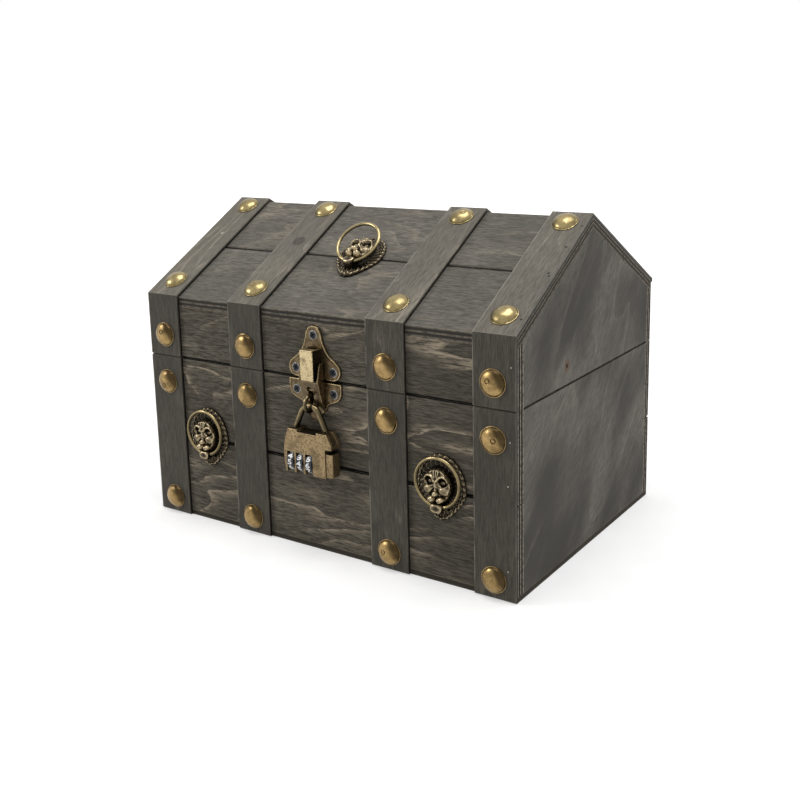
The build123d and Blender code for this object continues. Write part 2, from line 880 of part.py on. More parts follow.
def lever():
    back = plate_front - lever_back_gap
    lean = (lever_shoulder - rivet_height) * sin(radians(lever_play))
    web = across(
        [
            (lever_front(lever_top), lever_top),
            (lever_front(lever_foot), lever_foot),
            (lever_front(lever_foot, lever_sheet), lever_foot),
            (lever_front(lever_top, lever_sheet), lever_top),
        ],
        latch_x - lever_half_width,
        latch_x + lever_half_width,
    )
    side_profile = [
        (lever_front(lever_top), lever_top),
        (lever_front(lever_foot), lever_foot),
        (back, lever_foot),
        (back, rivet_height + lug_radius),
        (back - lean, lever_shoulder),
        (back - lever_shoulder_depth + lever_sheet, lever_shoulder),
        (back - lever_shoulder_depth, lever_shoulder - lever_sheet),
    ]
    solid = web
    for side in (-1, 1):
        a = latch_x + side * lever_half_width
        b = a - side * lever_sheet
        solid = solid + across(side_profile, min(a, b), max(a, b))
    tip = latch_x, (lever_foot + lever_tip) / 2
    tongue = Pos(*tip) * Rectangle(2 * lever_tip_half_width, lever_foot - lever_tip)
    tongue = fillet(tongue.vertices().group_by(Axis.Y)[0], lever_tip_radius)
    shoulder = make_face(
        Polyline(
            [
                (latch_x - lever_half_width, lever_foot),
                (latch_x + lever_half_width, lever_foot),
                (latch_x + lever_tip_half_width, lever_foot - lever_tip_half_width / 2),
                (latch_x - lever_tip_half_width, lever_foot - lever_tip_half_width / 2),
            ],
            close=True,
        )
    )
    solid = solid + sheet(
        tongue + shoulder, latch_plate + lever_foot_depth - lever_sheet, lever_sheet
    )
    slot = Pos(latch_x, (keyhole_bottom + keyhole_eye_height) / 2) * Rectangle(
        keyhole_width, keyhole_eye_height - keyhole_bottom
    )
    eye = Pos(latch_x, keyhole_eye_height) * Circle(keyhole_eye / 2)
    solid = solid - sheet(slot + eye, latch_plate, lever_top_depth + overrun)
    for z, ahead, size in (
        (rivet_height, rivet_depth, rivet_diameter + 2 * running_clearance),
        (hook_pin_height, hook_pin_depth, hook_pin_diameter),
    ):
        solid = solid - rod_x(
            latch_x - lever_half_width - overrun, latch_x + lever_half_width + overrun,
            plate_front - ahead, z, size,
        )
    return solid


hook_pin_y = plate_front - hook_pin_depth
save(lever(), "latch_lever")
save(
    rod_x(
        latch_x - lever_half_width, latch_x + lever_half_width,
        hook_pin_y, hook_pin_height, hook_pin_diameter,
    ),
    "hook_pin",
)


# Draw hook: an arm on a barrel, opening into a box whose lip sits over the catch
def draw_hook():
    half = hook_arm_width / 2
    barrel = rod_x(latch_x - half, latch_x + half, hook_pin_y, hook_pin_height, hook_barrel)
    arm = block(
        latch_x - half, latch_x + half,
        hook_pin_y - hook_arm_thickness / 2, hook_pin_y + hook_arm_thickness / 2,
        hook_pin_height, hook_bottom + hook_sheet,
    )
    front = plate_front - hook_depth
    outer = hook_width / 2
    back = plate_front - hook_back_gap
    lip_back = plate_front - catch_tab_depth - hook_lip_gap
    box = block(latch_x - outer, latch_x + outer, front, front + hook_sheet, hook_bottom, hook_top)
    box = fillet(box.edges().filter_by(Axis.Z).group_by(Axis.Y)[0], hook_sheet / 2)
    for side in (-1, 1):
        a = latch_x + side * outer
        b = a - side * hook_sheet
        box = box + block(
            min(a, b), max(a, b), front + hook_sheet / 2, back,
            hook_bottom + hook_depth / 2, hook_top,
        )
        box = box + block(
            min(a, b), max(a, b), front + hook_sheet / 2, hook_pin_y,
            hook_bottom, hook_bottom + hook_depth / 2,
        )
    lip = block(
        latch_x - outer, latch_x + outer, front + hook_sheet / 2, lip_back,
        hook_top - hook_sheet, hook_top,
    )
    floor = block(
        latch_x - outer, latch_x + outer, front + hook_sheet / 2,
        hook_pin_y + hook_arm_thickness / 2, hook_bottom, hook_bottom + hook_sheet,
    )
    bore = rod_x(
        latch_x - outer, latch_x + outer, hook_pin_y, hook_pin_height,
        hook_pin_diameter + 2 * running_clearance,
    )
    return barrel + arm + box + lip + floor - bore


save(draw_hook(), "draw_hook")

# Padlock: the shackle hangs on the staple's lower inside
lock_y = staple_y
crown_z = staple_height - (staple_radius - staple_wire / 2 - shackle_wire / 2 - shackle_clearance)
lock_top = crown_z - shackle_rise
lock_bottom = lock_top - lock_height
foot_z = lock_top + shackle_foot_above
half_span = shackle_span / 2
heel_x = latch_x - half_span
heel_z = lock_top - heel_pin_depth


def shackle():
    """A wire in the shape of an A: a round crown, splayed legs and upright feet."""
    centre_z = crown_z - shackle_crown_radius
    reach = hypot(half_span, centre_z - foot_z)
    turn = atan2(foot_z - centre_z, half_span) + acos(shackle_crown_radius / reach)
    touch_x = shackle_crown_radius * cos(turn)
    touch_z = centre_z + shackle_crown_radius * sin(turn)
    crown = ThreePointArc(
        (latch_x - touch_x, lock_y, touch_z),
        (latch_x, lock_y, crown_z),
        (latch_x + touch_x, lock_y, touch_z),
    )
    free_z = lock_top - shackle_free_depth
    left = FilletPolyline(
        (latch_x - half_span, lock_y, heel_z - heel_length),
        (latch_x - half_span, lock_y, foot_z),
        (latch_x - touch_x, lock_y, touch_z),
        radius=shackle_bend_radius,
    )
    right = FilletPolyline(
        (latch_x + touch_x, lock_y, touch_z),
        (latch_x + half_span, lock_y, foot_z),
        (latch_x + half_span, lock_y, free_z),
        radius=shackle_bend_radius,
    )
    path = left + crown + right
    start = Plane(
        origin=(latch_x - half_span, lock_y, heel_z - heel_length), x_dir=(1, 0, 0), z_dir=(0, 0, 1)
    )
    wire = sweep(start * Circle(shackle_wire / 2), path=path)
    bore = rod_y(
        lock_y - shackle_wire, lock_y + shackle_wire, heel_x, heel_z,
        heel_pin_diameter + 2 * running_clearance,
    )
    return wire - bore


save(shackle(), "padlock_shackle")
save(
    rod_y(
        lock_y - lock_thickness / 2, lock_y + lock_thickness / 2, heel_x, heel_z,
        heel_pin_diameter,
    ),
    "padlock_heel_pin",
)

dial_height = lock_bottom + dial_rise
dial_xs = [latch_x + dial_first_x + i * dial_pitch for i in range(dial_count)]
lock_left = latch_x - lock_width / 2
lock_right = latch_x + lock_width / 2
axle_start = lock_left + lock_bulge
axle_end = dial_xs[-1] + dial_width / 2 + dial_room + axle_wall
slider_x = lock_right - slider_width
slider_z = lock_bottom + slider_lift


def upright(points, y0, y1):
    """A profile of (x, z) points, run along Y from y0 to y1."""
    face = make_face(Polyline([(x, y0, z) for x, z in points], close=True))
    return extrude(face, amount=y1 - y0, dir=(0, 1, 0))


def lock_body():
    y0 = lock_y - lock_thickness / 2
    y1 = lock_y + lock_thickness / 2
    top_left = latch_x - lock_top_width / 2
    top_right = latch_x + lock_top_width / 2
    waist = lock_bottom + lock_height * lock_waist_share
    foot_left = lock_left + lock_bulge
    edge = Line((foot_left, y0, lock_bottom), (lock_right, y0, lock_bottom))
    edge = edge + Line((lock_right, y0, lock_bottom), (lock_right, y0, waist))
    edge = edge + Line((lock_right, y0, waist), (top_right, y0, lock_top))
    edge = edge + Line((top_right, y0, lock_top), (top_left, y0, lock_top))
    edge = edge + ThreePointArc(
        (top_left, y0, lock_top),
        (lock_left, y0, lock_bottom + lock_height * lock_belly_share),
        (foot_left, y0, lock_bottom),
    )
    solid = extrude(make_face(edge), amount=lock_thickness, dir=(0, 1, 0))
    rims = solid.edges().group_by(Axis.Y)
    solid = fillet(ShapeList(rims[0] + rims[-1]), lock_edge)
    half_notch = lock_notch_width / 2
    solid = solid - block(
        latch_x - half_notch, latch_x + half_notch, y0, y1,
        lock_top - lock_notch_depth, lock_top + overrun,
    )
    room = shackle_wire / 2 + shackle_slot_room
    free_x = latch_x + half_span
    solid = solid - block(
        free_x - room, lock_right + overrun, lock_y - room, lock_y + room,
        lock_top - shackle_free_depth - shackle_slot_room, lock_top + overrun,
    )
    sweep_turn = radians(lock_opening + lock_opening_room)
    heel_radius = hypot(heel_length, shackle_wire / 2) + heel_room
    far = lock_height / 2
    wedge = [
        (heel_x + room, heel_z),
        (heel_x + room, heel_z + far),
        (heel_x - far, heel_z + far),
        (
            heel_x - room * cos(sweep_turn) - far * sin(sweep_turn),
            heel_z - room * sin(sweep_turn) + far * cos(sweep_turn),
        ),
        (heel_x - room * cos(sweep_turn), heel_z - room * sin(sweep_turn)),
    ]
    solid = solid - upright(wedge, lock_y - room, lock_y + room)
    solid = solid - rod_y(lock_y - room, lock_y + room, heel_x, heel_z, 2 * heel_radius)
    solid = solid - rod_y(y0 - overrun, y1 + overrun, heel_x, heel_z, heel_pin_diameter)
    for x in dial_xs:
        half = dial_width / 2 + dial_room
        solid = solid - block(
            x - half, x + half, y0 - overrun, y1 + overrun,
            lock_bottom - overrun, dial_height + dial_diameter / 2 + dial_room,
        )
    solid = solid - rod_x(
        lock_left - overrun, axle_end, lock_y, dial_height, axle_diameter
    )
    solid = solid - block(
        slider_x - slider_room, lock_right + overrun, y0 - overrun, y1 + overrun,
        lock_bottom - overrun, slider_z + slider_height + slider_above,
    )
    groove = tongue_thickness / 2 + slider_room
    solid = solid - block(
        slider_x - tongue_width - slider_room, slider_x, lock_y - groove, lock_y + groove,
        lock_bottom - overrun, slider_z + slider_height,
    )
    return solid


def lock_slider():
    """The release slider: a rounded column with a tongue in the body's groove."""
    y0 = lock_y - lock_thickness / 2 + side_inset
    y1 = lock_y + lock_thickness / 2 - side_inset
    column = block(slider_x, lock_right, y0, y1, slider_z, slider_z + slider_height)
    column = fillet(column.edges().filter_by(Axis.Z).group_by(Axis.X)[-1], slider_edge)
    tongue = block(
        slider_x - tongue_width, slider_x, lock_y - tongue_thickness / 2,
        lock_y + tongue_thickness / 2, slider_z + side_inset, slider_z + side_inset + tongue_height,
    )
    return column + tongue


def dial(x):
    half = dial_width / 2
    wheel = rod_x(x - half, x + half, lock_y, dial_height, dial_diameter)
    wheel = chamfer(wheel.edges().filter_by(GeomType.CIRCLE), dial_edge)
    return wheel - rod_x(
        x - dial_width, x + dial_width, lock_y, dial_height, axle_diameter + 2 * running_clearance
    )


save(lock_body(), "padlock_body")
save(lock_slider(), "padlock_slider")
save(rod_x(axle_start, axle_end, lock_y, dial_height, axle_diameter), "dial_axle")
for number, x in enumerate(dial_xs, 1):
    save(dial(x), f"dial_{number}")

print("front of the latch plates", round(plate_front, 3))
print("hinge axis y, z", round(hinge_y, 3), round(hinge_z, 3))
print("lever axis y, z", round(rivet_y, 3), round(rivet_height, 3))
print("hook axis y, z", round(hook_pin_y, 3), round(hook_pin_height, 3))
print("shackle axis y, z", round(lock_y, 3), round(crown_z, 3))
print("lock axis x, z", round(heel_x, 3), round(heel_z, 3))
print("dial axis z", round(dial_height, 3))
for name, plane in pull_planes.items():
    axis = plane.location * Pos(0, -ring_drop, ring_offset)
    print("ring axis", name, [round(v, 3) for v in axis.position])
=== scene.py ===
import bmesh
import bpy
import json
import math
from mathutils import Matrix, Vector


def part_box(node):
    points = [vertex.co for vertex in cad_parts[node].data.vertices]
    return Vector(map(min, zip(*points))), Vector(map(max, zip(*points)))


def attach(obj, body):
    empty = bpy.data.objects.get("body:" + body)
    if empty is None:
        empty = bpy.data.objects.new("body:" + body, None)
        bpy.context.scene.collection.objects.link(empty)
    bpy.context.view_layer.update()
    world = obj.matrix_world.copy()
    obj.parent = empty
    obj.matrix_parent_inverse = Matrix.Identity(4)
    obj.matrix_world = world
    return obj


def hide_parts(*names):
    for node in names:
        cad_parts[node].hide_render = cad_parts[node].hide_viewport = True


# A wooden treasure chest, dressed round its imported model. Metres, X to the right, Y to the back, Z up.

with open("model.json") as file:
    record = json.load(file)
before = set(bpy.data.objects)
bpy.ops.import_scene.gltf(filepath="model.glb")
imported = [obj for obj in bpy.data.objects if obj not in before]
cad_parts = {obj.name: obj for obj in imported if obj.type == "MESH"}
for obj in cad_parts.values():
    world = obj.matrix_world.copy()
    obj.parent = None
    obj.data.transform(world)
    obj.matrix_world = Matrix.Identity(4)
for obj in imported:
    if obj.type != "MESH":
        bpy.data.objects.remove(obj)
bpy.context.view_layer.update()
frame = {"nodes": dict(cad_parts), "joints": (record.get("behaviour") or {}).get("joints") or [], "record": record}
nodes = frame["nodes"]
bodyOf = {node: body for body, members in frame["record"]["behaviour"]["bodies"].items() for node in members}
turnsOn = {joint["child"]: Vector(joint["pos_m"]) for joint in frame["joints"] if "pos_m" in joint}
mm = 0.001
print("frame loaded:", len(nodes), "nodes")

# Places read from the frame
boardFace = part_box("lid_front_board")[0].y
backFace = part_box("lid_back_board")[1].y
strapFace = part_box("lid_front_straps")[0].y
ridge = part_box("roof_strap_left")[1].z
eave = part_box("lid_front_straps")[1].z
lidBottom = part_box("lid_front_board")[0].z
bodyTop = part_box("body_front_upper_plank")[1].z
slope = math.atan2(ridge - eave, -strapFace)
rightward, upward = Vector((1, 0, 0)), Vector((0, 0, 1))
forward, backward = Vector((0, -1, 0)), Vector((0, 1, 0))
upFront = Vector((0, -math.sin(slope), math.cos(slope)))
upBack = Vector((0, math.sin(slope), math.cos(slope)))
alongFront = Vector((0, math.cos(slope), math.sin(slope)))
alongBack = Vector((0, -math.cos(slope), math.sin(slope)))


# Node trees are written as sums: each value is the output of a node, and what is done to it adds nodes
class netValue:
    def __init__(self, socket):
        self.socket, self.tree = socket, socket.id_data

    def __add__(self, other):
        return maths("ADD", self, other)

    def __sub__(self, other):
        return maths("SUBTRACT", self, other)

    def __rsub__(self, other):
        return maths("SUBTRACT", other, self)

    def __mul__(self, other):
        return maths("MULTIPLY", self, other)

    def __truediv__(self, other):
        return maths("DIVIDE", self, other)

    def clamped(self):
        self.socket.node.use_clamp = True
        return self


def give(socket, value):
    # A link or a plain value; colours are written without their alpha
    if isinstance(value, netValue):
        value.tree.links.new(value.socket, socket)
    else:
        socket.default_value = (*value, 1) if socket.type == "RGBA" else value


def add(tree, kind, output, inputs=None, **settings):
    # A new node; gives back one of its outputs
    node = tree.nodes.new(kind)
    for name, value in settings.items():
        setattr(node, name, value)
    for name, value in (inputs or {}).items():
        give(node.inputs[name], value)
    return netValue(node.outputs[output])


def maths(operation, a, b=0.0):
    tree = a.tree if isinstance(a, netValue) else b.tree
    return add(tree, "ShaderNodeMath", 0, {0: a, 1: b}, operation=operation)


def vectors(operation, a, b=(0, 0, 0), output="Value"):
    return add(a.tree, "ShaderNodeVectorMath", output, {0: a, 1: b}, operation=operation)


def dot(a, b):
    return vectors("DOT_PRODUCT", a, b)


def ramp(factor, low, high, outLow=0.0, outHigh=1.0, smooth=True):
    return add(factor.tree, "ShaderNodeMapRange", "Result", {
        "Value": factor, "From Min": low, "From Max": high, "To Min": outLow, "To Max": outHigh,
    }, interpolation_type="SMOOTHSTEP" if smooth else "LINEAR")


def mixColour(factor, a, b):
    return add(factor.tree, "ShaderNodeMix", 2, {0: factor, 6: a, 7: b}, data_type="RGBA")


def noiseOf(vector, scale, detail=2.0, rough=0.5, distortion=0.0):
    return add(vector.tree, "ShaderNodeTexNoise", "Fac", {
        "Vector": vector, "Scale": scale, "Detail": detail, "Roughness": rough, "Distortion": distortion})


def joined(x, y, z=0.0):
    return add(x.tree, "ShaderNodeCombineXYZ", "Vector", {"X": x, "Y": y, "Z": z})


def ownNormal(tree, kind="Normal"):
    # The normal in the piece's own space, so that a pattern stays where it is when the piece turns
    return add(
        tree, "ShaderNodeVectorTransform", "Vector", {"Vector": add(tree, "ShaderNodeNewGeometry", kind)},
        vector_type="NORMAL", convert_from="WORLD", convert_to="OBJECT")


def keyOf(title):
    # The name that an input's title has in the code
    first, *others = title.split()
    return first.lower() + "".join(word.capitalize() for word in others)


def newGroup(name, inputs, outputs, build, kind="ShaderNodeTree"):
    # Inputs have a default or the kind of their socket; build turns them into the outputs, in order
    group = bpy.data.node_groups.new(name, kind)
    for title, value in inputs.items():
        usual = {int: "Int", float: "Float"}.get(type(value), value)
        socket = group.interface.new_socket(title, in_out="INPUT", socket_type="NodeSocket" + usual)
        if usual != value:
            socket.default_value = value
    for title, usual in outputs.items():
        group.interface.new_socket(title, in_out="OUTPUT", socket_type="NodeSocket" + usual)
    ports = group.nodes.new("NodeGroupInput").outputs
    outside = group.nodes.new("NodeGroupOutput").inputs
    for title, value in zip(outputs, build(**{keyOf(title): netValue(ports[title]) for title in inputs})):
        give(outside[title], value)
    return group


def useGroup(tree, group, look, **links):
    # A group's node: each input takes the link or the look's value of the same name
    node = tree.nodes.new("ShaderNodeGroup")
    node.node_tree = group
    values = dict(look, **links)
    for socket in node.inputs:
        value = values.get(keyOf(socket.name))
        if value is not None:
            give(socket, value)
    return {socket.name: netValue(socket) for socket in node.outputs}


# Shared effects
grainValues = {
    "heartStretch": 0.26, "seedStep": 3.7, "lineSharpness": 6.0, "lineEnd": 0.94, "softLines": 0.34,
    "patchEdge": (0.07, 0.09), "broken": (0.34, 0.6), "tone": (0.4, 0.6), "cloud": (0.34, 0.66),
    "fineShare": 0.6, "fibreHeight": 0.6, "lineHeight": 0.25,
    # Stretch along the grain, scale, detail, roughness, distortion
    "layers": {
        "broad": (0.3, 30.0, 2.0, 0.4, 0.35), "patches": (0.45, 26.0, 1.0), "fibres": (0.1, 1900.0, 2.0, 0.7),
        "coarse": (0.13, 700.0, 3.0, 0.65), "broken": (0.16, 900.0, 2.0, 0.7), "cloud": (0.5, 24.0, 3.0),
    },
}


def buildGrain(
    vector, along, across, heartAlong, heartAcross, pull, seed, streaks, rings, patches, fibres, clouds, dark, middle,
    light,
):
    # Flat-cut board: fine fibres, soft clouds, and pale growth lines round a heart that show only in patches
    through = dot(vector, vectors("CROSS_PRODUCT", along, across, "Vector"))
    along, across = dot(vector, along), dot(vector, across)

    def layer(name):
        stretch, *settings = grainValues["layers"][name]
        return noiseOf(joined(along * stretch + seed * grainValues["seedStep"], across, through), *settings)

    fromHeart = joined((along - heartAlong) * grainValues["heartStretch"], across - heartAcross)
    cycle = maths("FRACT", (layer("broad") + vectors("LENGTH", fromHeart) * pull) * rings)
    lines = maths("POWER", cycle, grainValues["lineSharpness"]) * ramp(cycle, 1.0, grainValues["lineEnd"])
    below, above = grainValues["patchEdge"]
    shown = ramp(layer("patches"), patches - below, patches + above)
    lineMask = lines + cycle * cycle * grainValues["softLines"]
    streak = (lineMask * shown * ramp(layer("broken"), *grainValues["broken"]) * streaks).clamped()
    fine = grainValues["fineShare"]
    mixed = layer("fibres") * fine + layer("coarse") * (1 - fine)
    contrast = ((ramp(mixed, *grainValues["tone"], smooth=False) - 0.5) * fibres + 0.5).clamped()
    cloud = ramp(layer("cloud"), *grainValues["cloud"]) * clouds
    colour = mixColour(streak, mixColour(cloud, mixColour(contrast, dark, middle), dark), light)
    return colour, mixed * grainValues["fibreHeight"] + lines * shown * grainValues["lineHeight"]


woodGrain = newGroup("woodGrain", {
    "Vector": "Vector", "Along": "Vector", "Across": "Vector", "Heart along": 0.0, "Heart across": 0.0, "Pull": 0.0,
    "Seed": 0.0, "Streaks": 0.6, "Rings": 9.0, "Patches": 0.55, "Fibres": 1.0, "Clouds": 0.4, "Dark": "Color",
    "Middle": "Color", "Light": "Color",
}, {"Color": "Color", "Height": "Float"}, buildGrain)

plyValues = {
    "squareOn": (0.68, 0.56), "wobbleScale": 60.0, "wobble": 0.0007, "waves": 15.0, "stripe": (-0.3, 0.9),
    "fleckScale": 500.0, "fleck": (0.3, 0.62, 0.3, 1.0),
}


def buildPlyEdge(color, vector, face, offset, thickness, plyLight, plyDark):
    # Stripes of glued veneers on the faces that are square to a board's face
    mask = ramp(maths("ABSOLUTE", dot(ownNormal(vector.tree, "True Normal"), face)), *plyValues["squareOn"])
    depth = offset - dot(vector, face) + noiseOf(vector, plyValues["wobbleScale"]) * plyValues["wobble"]
    wave = maths("SINE", depth / thickness * plyValues["waves"])
    stripe = ramp(wave, *plyValues["stripe"]) * ramp(noiseOf(vector, plyValues["fleckScale"]), *plyValues["fleck"])
    return mixColour(mask, color, mixColour(stripe, plyDark, plyLight)), mask


plyEdge = newGroup("plyEdge", {
    "Color": "Color", "Vector": "Vector", "Face": "Vector", "Offset": 0.0, "Thickness": 0.006,
    "Ply light": "Color", "Ply dark": "Color",
}, {"Color": "Color", "Mask": "Float"}, buildPlyEdge)

seamValues = {"wobbleScale": 220.0, "wobble": 0.5, "fade": (1.55, 0.85)}


def buildSeamLine(vector, across, low, high, seamWidth):
    # Painted shade along a board's two long edges, standing in for the shadow in the joint
    place = dot(vector, across)
    near = maths("MINIMUM", place - low, high - place) / seamWidth
    return [ramp(near + noiseOf(vector, seamValues["wobbleScale"]) * seamValues["wobble"], *seamValues["fade"])]


seamLine = newGroup(
    "seamLine", {"Vector": "Vector", "Across": "Vector", "Low": 0.0, "High": 0.1, "Seam width": 0.0004},
    {"Mask": "Float"}, buildSeamLine)

wearValues = {"samples": 6, "rounded": (0.995, 0.86), "rubbed": (0.3, 0.58)}


def buildEdgeWear(vector, radius, breakup, amount):
    # A mask of rubbed edges, broken up by noise
    rounded = add(vector.tree, "ShaderNodeBevel", "Normal", {"Radius": radius}, samples=wearValues["samples"])
    edge = ramp(dot(rounded, add(vector.tree, "ShaderNodeNewGeometry", "Normal")), *wearValues["rounded"])
    return [(edge * ramp(noiseOf(vector, breakup, 3.0), *wearValues["rubbed"]) * amount).clamped()]


edgeWear = newGroup(
    "edgeWear", {"Vector": "Vector", "Radius": 0.0006, "Breakup": 300.0, "Amount": 1.0}, {"Mask": "Float"},
    buildEdgeWear)

patinaValues = {"film": (0.4, 0.68), "fineScale": 6.0, "speck": (0.5, 0.68), "polish": 0.3, "cloudHeight": 0.7}


def buildPatina(vector, rubbed, film, metal, bright, filmAmount, specks, scale, smooth, dull):
    # Old brass: dark film, rubbed metal, fine specks
    cloud = noiseOf(vector, scale, 3.0, 0.6)
    fine = noiseOf(vector, scale * patinaValues["fineScale"], 2.0, 0.6)
    filmMask = (ramp(cloud, *patinaValues["film"]) * filmAmount).clamped()
    speckMask = (ramp(fine, *patinaValues["speck"]) * specks).clamped()
    colour = mixColour(speckMask, mixColour(filmMask, metal, film), film)
    rough = (ramp(maths("MAXIMUM", filmMask, speckMask), 0.0, 1.0) - rubbed * patinaValues["polish"]).clamped()
    share = patinaValues["cloudHeight"]
    return mixColour(rubbed, colour, bright), smooth + rough * (dull - smooth), cloud * share + fine * (1 - share)


patina = newGroup("patina", {
    "Vector": "Vector", "Rubbed": 0.0, "Film": "Color", "Metal": "Color", "Bright": "Color", "Film amount": 0.5,
    "Specks": 0.3, "Scale": 400.0, "Smooth": 0.3, "Dull": 0.62,
}, {"Color": "Color", "Roughness": "Float", "Height": "Float"}, buildPatina)


def newMaterial(name):
    material = bpy.data.materials.new(name)
    material.use_nodes = True
    tree = material.node_tree
    return material, tree, tree.nodes["Principled BSDF"].inputs, add(tree, "ShaderNodeTexCoord", "Object")


def nearSpot(point, place, radius, ragged=0.25):
    # A mask round one place, with a ragged rim
    uneven = noiseOf(point, 0.6 / radius) * (radius * ragged)
    return ramp(vectors("DISTANCE", point, place) + uneven, radius * 1.25, radius * 0.85)


def spotted(point, colour, spots):
    # Small marks: each a place, a radius, a colour and a strength
    for place, radius, spotColour, strength in spots:
        colour = mixColour(nearSpot(point, place, radius) * strength, colour, spotColour)
    return colour


def finish(shader, colour, rough, height, values):
    give(shader["Base Color"], colour)
    give(shader["Roughness"], rough)
    give(shader["Normal"], add(height.tree, "ShaderNodeBump", "Normal", {
        "Height": height, "Strength": values["bump"], "Distance": values["bumpDepth"]}))


def finishWood(shader, colour, height, values):
    finish(shader, colour, ramp(height, 0.1, 0.6, values["dull"], values["smooth"]), height, values)
    give(shader["Specular IOR Level"], values["gloss"])


def woodValues(usual, changes):
    # A wood's look with its changes, its three colours lightened by its shade
    values = dict(usual, **changes)
    for key in ("dark", "middle", "light"):
        values[key] = tuple(c * values["shade"] for c in values[key])
    return values


woodLook = {
    "dark": (0.034, 0.0305, 0.024), "middle": (0.118, 0.1055, 0.083), "light": (0.32, 0.265, 0.195),
    "plyLight": (0.3, 0.265, 0.215), "plyDark": (0.008, 0.0073, 0.0066), "seam": (0.003, 0.0027, 0.0023),
    "smooth": 0.6, "dull": 0.8, "gloss": 0.08, "bump": 0.6, "bumpDepth": 0.0003,
    "streaks": 0.8, "shade": 1.3, "rings": 9.0, "patches": 0.52, "fibres": 1.0, "clouds": 0.42,
    "seamWidth": 0.0007, "seamAcross": None, "spots": (),
    "radius": 0.0005, "breakup": 160.0, "amount": 0.5,
}


def woodMaterial(name, seed, along, across, face, offset, thickness, low, high, **look):
    # Stained board: grain along one axis, veneers on its edges, painted shade in the joints on its long sides
    values = woodValues(woodLook, look)
    material, tree, shader, point = newMaterial(name)
    wood = useGroup(tree, woodGrain, values, vector=point, along=along, across=across, seed=seed)
    veneers = useGroup(
        tree, plyEdge, values, vector=point, color=wood["Color"], face=face, offset=offset, thickness=thickness)
    wear = useGroup(tree, edgeWear, values, vector=point)["Mask"]
    seam = useGroup(
        tree, seamLine, values, vector=point, across=values["seamAcross"] or across, low=low, high=high)["Mask"]
    colour = mixColour(wear, veneers["Color"], values["light"])
    # Painted shade in the joints along the long sides
    colour = mixColour(seam * (1.0 - veneers["Mask"]).clamped(), colour, values["seam"])
    finishWood(shader, spotted(point, colour, values["spots"]), wood["Height"], values)
    return material


strapLook = {
    "dark": (0.029, 0.0265, 0.0215), "middle": (0.066, 0.06, 0.049), "light": (0.15, 0.132, 0.105),
    "side": (0.004, 0.0036, 0.003), "rub": (0.26, 0.24, 0.2), "smooth": 0.46, "dull": 0.6, "gloss": 0.14,
    "shade": 1.5, "spots": (), "streaks": 0.4, "rings": 7.0, "patches": 0.5, "fibres": 0.8, "clouds": 0.35,
    "bump": 0.35, "bumpDepth": 0.0002, "radius": 0.0004, "breakup": 220.0, "amount": 0.5,
    "sideDepth": (0.0007, 0.0012), "lineInset": 0.00025, "line": (0.0004, 0.0001), "lineStrength": 0.75,
    "lineBreaks": (0.36, 0.6),
}


def strapMaterial(name, seed, along, face, offset, left, **look):
    # Thin smooth strip of darker wood: near-black sides, partly dark stain and partly painted shade towards their foot,
    # and a painted highlight line down its left edge
    values = woodValues(strapLook, look)
    material, tree, shader, point = newMaterial(name)
    wood = useGroup(tree, woodGrain, values, vector=point, along=along, across=rightward, seed=seed)
    side = useGroup(tree, plyEdge, {}, vector=point, face=face, offset=offset)["Mask"]
    # Sides near-black below the strap's face: partly dark stain, partly painted shade towards the foot where the strap
    # meets the board
    under = ramp(offset - dot(point, face), *values["sideDepth"])
    colour = mixColour(under * side, wood["Color"], values["side"])
    # Painted highlight: a pale broken line down each strap's left edge, where the light from the left catches it
    across = dot(point, rightward)
    lineMask = ramp(noiseOf(point, 90.0, 3.0), *values["lineBreaks"]) * (1.0 - side).clamped() * values["lineStrength"]
    for edge in left:
        line = ramp(maths("ABSOLUTE", across - (edge + values["lineInset"])), *values["line"])
        colour = mixColour(line * lineMask, colour, values["rub"])
    colour = spotted(point, colour, values["spots"])
    colour = mixColour(useGroup(tree, edgeWear, values, vector=point)["Mask"], colour, values["rub"])
    finishWood(shader, colour, wood["Height"], values)
    return material


def brassMaterial(name, look, relief=False):
    # Patinated metal, rubbed on its edges or lightened and darkened after the mesh's own relief; painted shade on the
    # faces that point one way
    material, tree, shader, point = newMaterial(name)
    if relief:
        uneven = noiseOf(point, look["breakup"] * 1.5) - 0.5
        raised = add(tree, "ShaderNodeAttribute", "Fac", attribute_name="relief") + uneven * look["patchy"]
        rubbed = ramp(raised, 0.54, 0.84)
    else:
        rubbed = useGroup(tree, edgeWear, look, vector=point)["Mask"]
    old = useGroup(tree, patina, look, vector=point, rubbed=rubbed)
    colour = old["Color"]
    if relief:
        colour = mixColour(ramp(raised, 0.46, 0.22), colour, look["film"])
    # Painted shade: the faces turned towards one given side take a darker colour, standing in for the shade on that
    # side
    if look["grimeSide"]:
        start, full, amount = look["grimeRange"]
        grime = ramp(dot(ownNormal(tree), look["grimeSide"]), start, full, 0.0, amount)
        if not relief:
            grime = grime * (1.0 - rubbed).clamped()
        colour = mixColour(grime, colour, look["grime"])
    finish(shader, spotted(point, colour, look["spots"]), old["Roughness"], old["Height"], look)
    give(shader["Metallic"], look["metallic"])
    return material


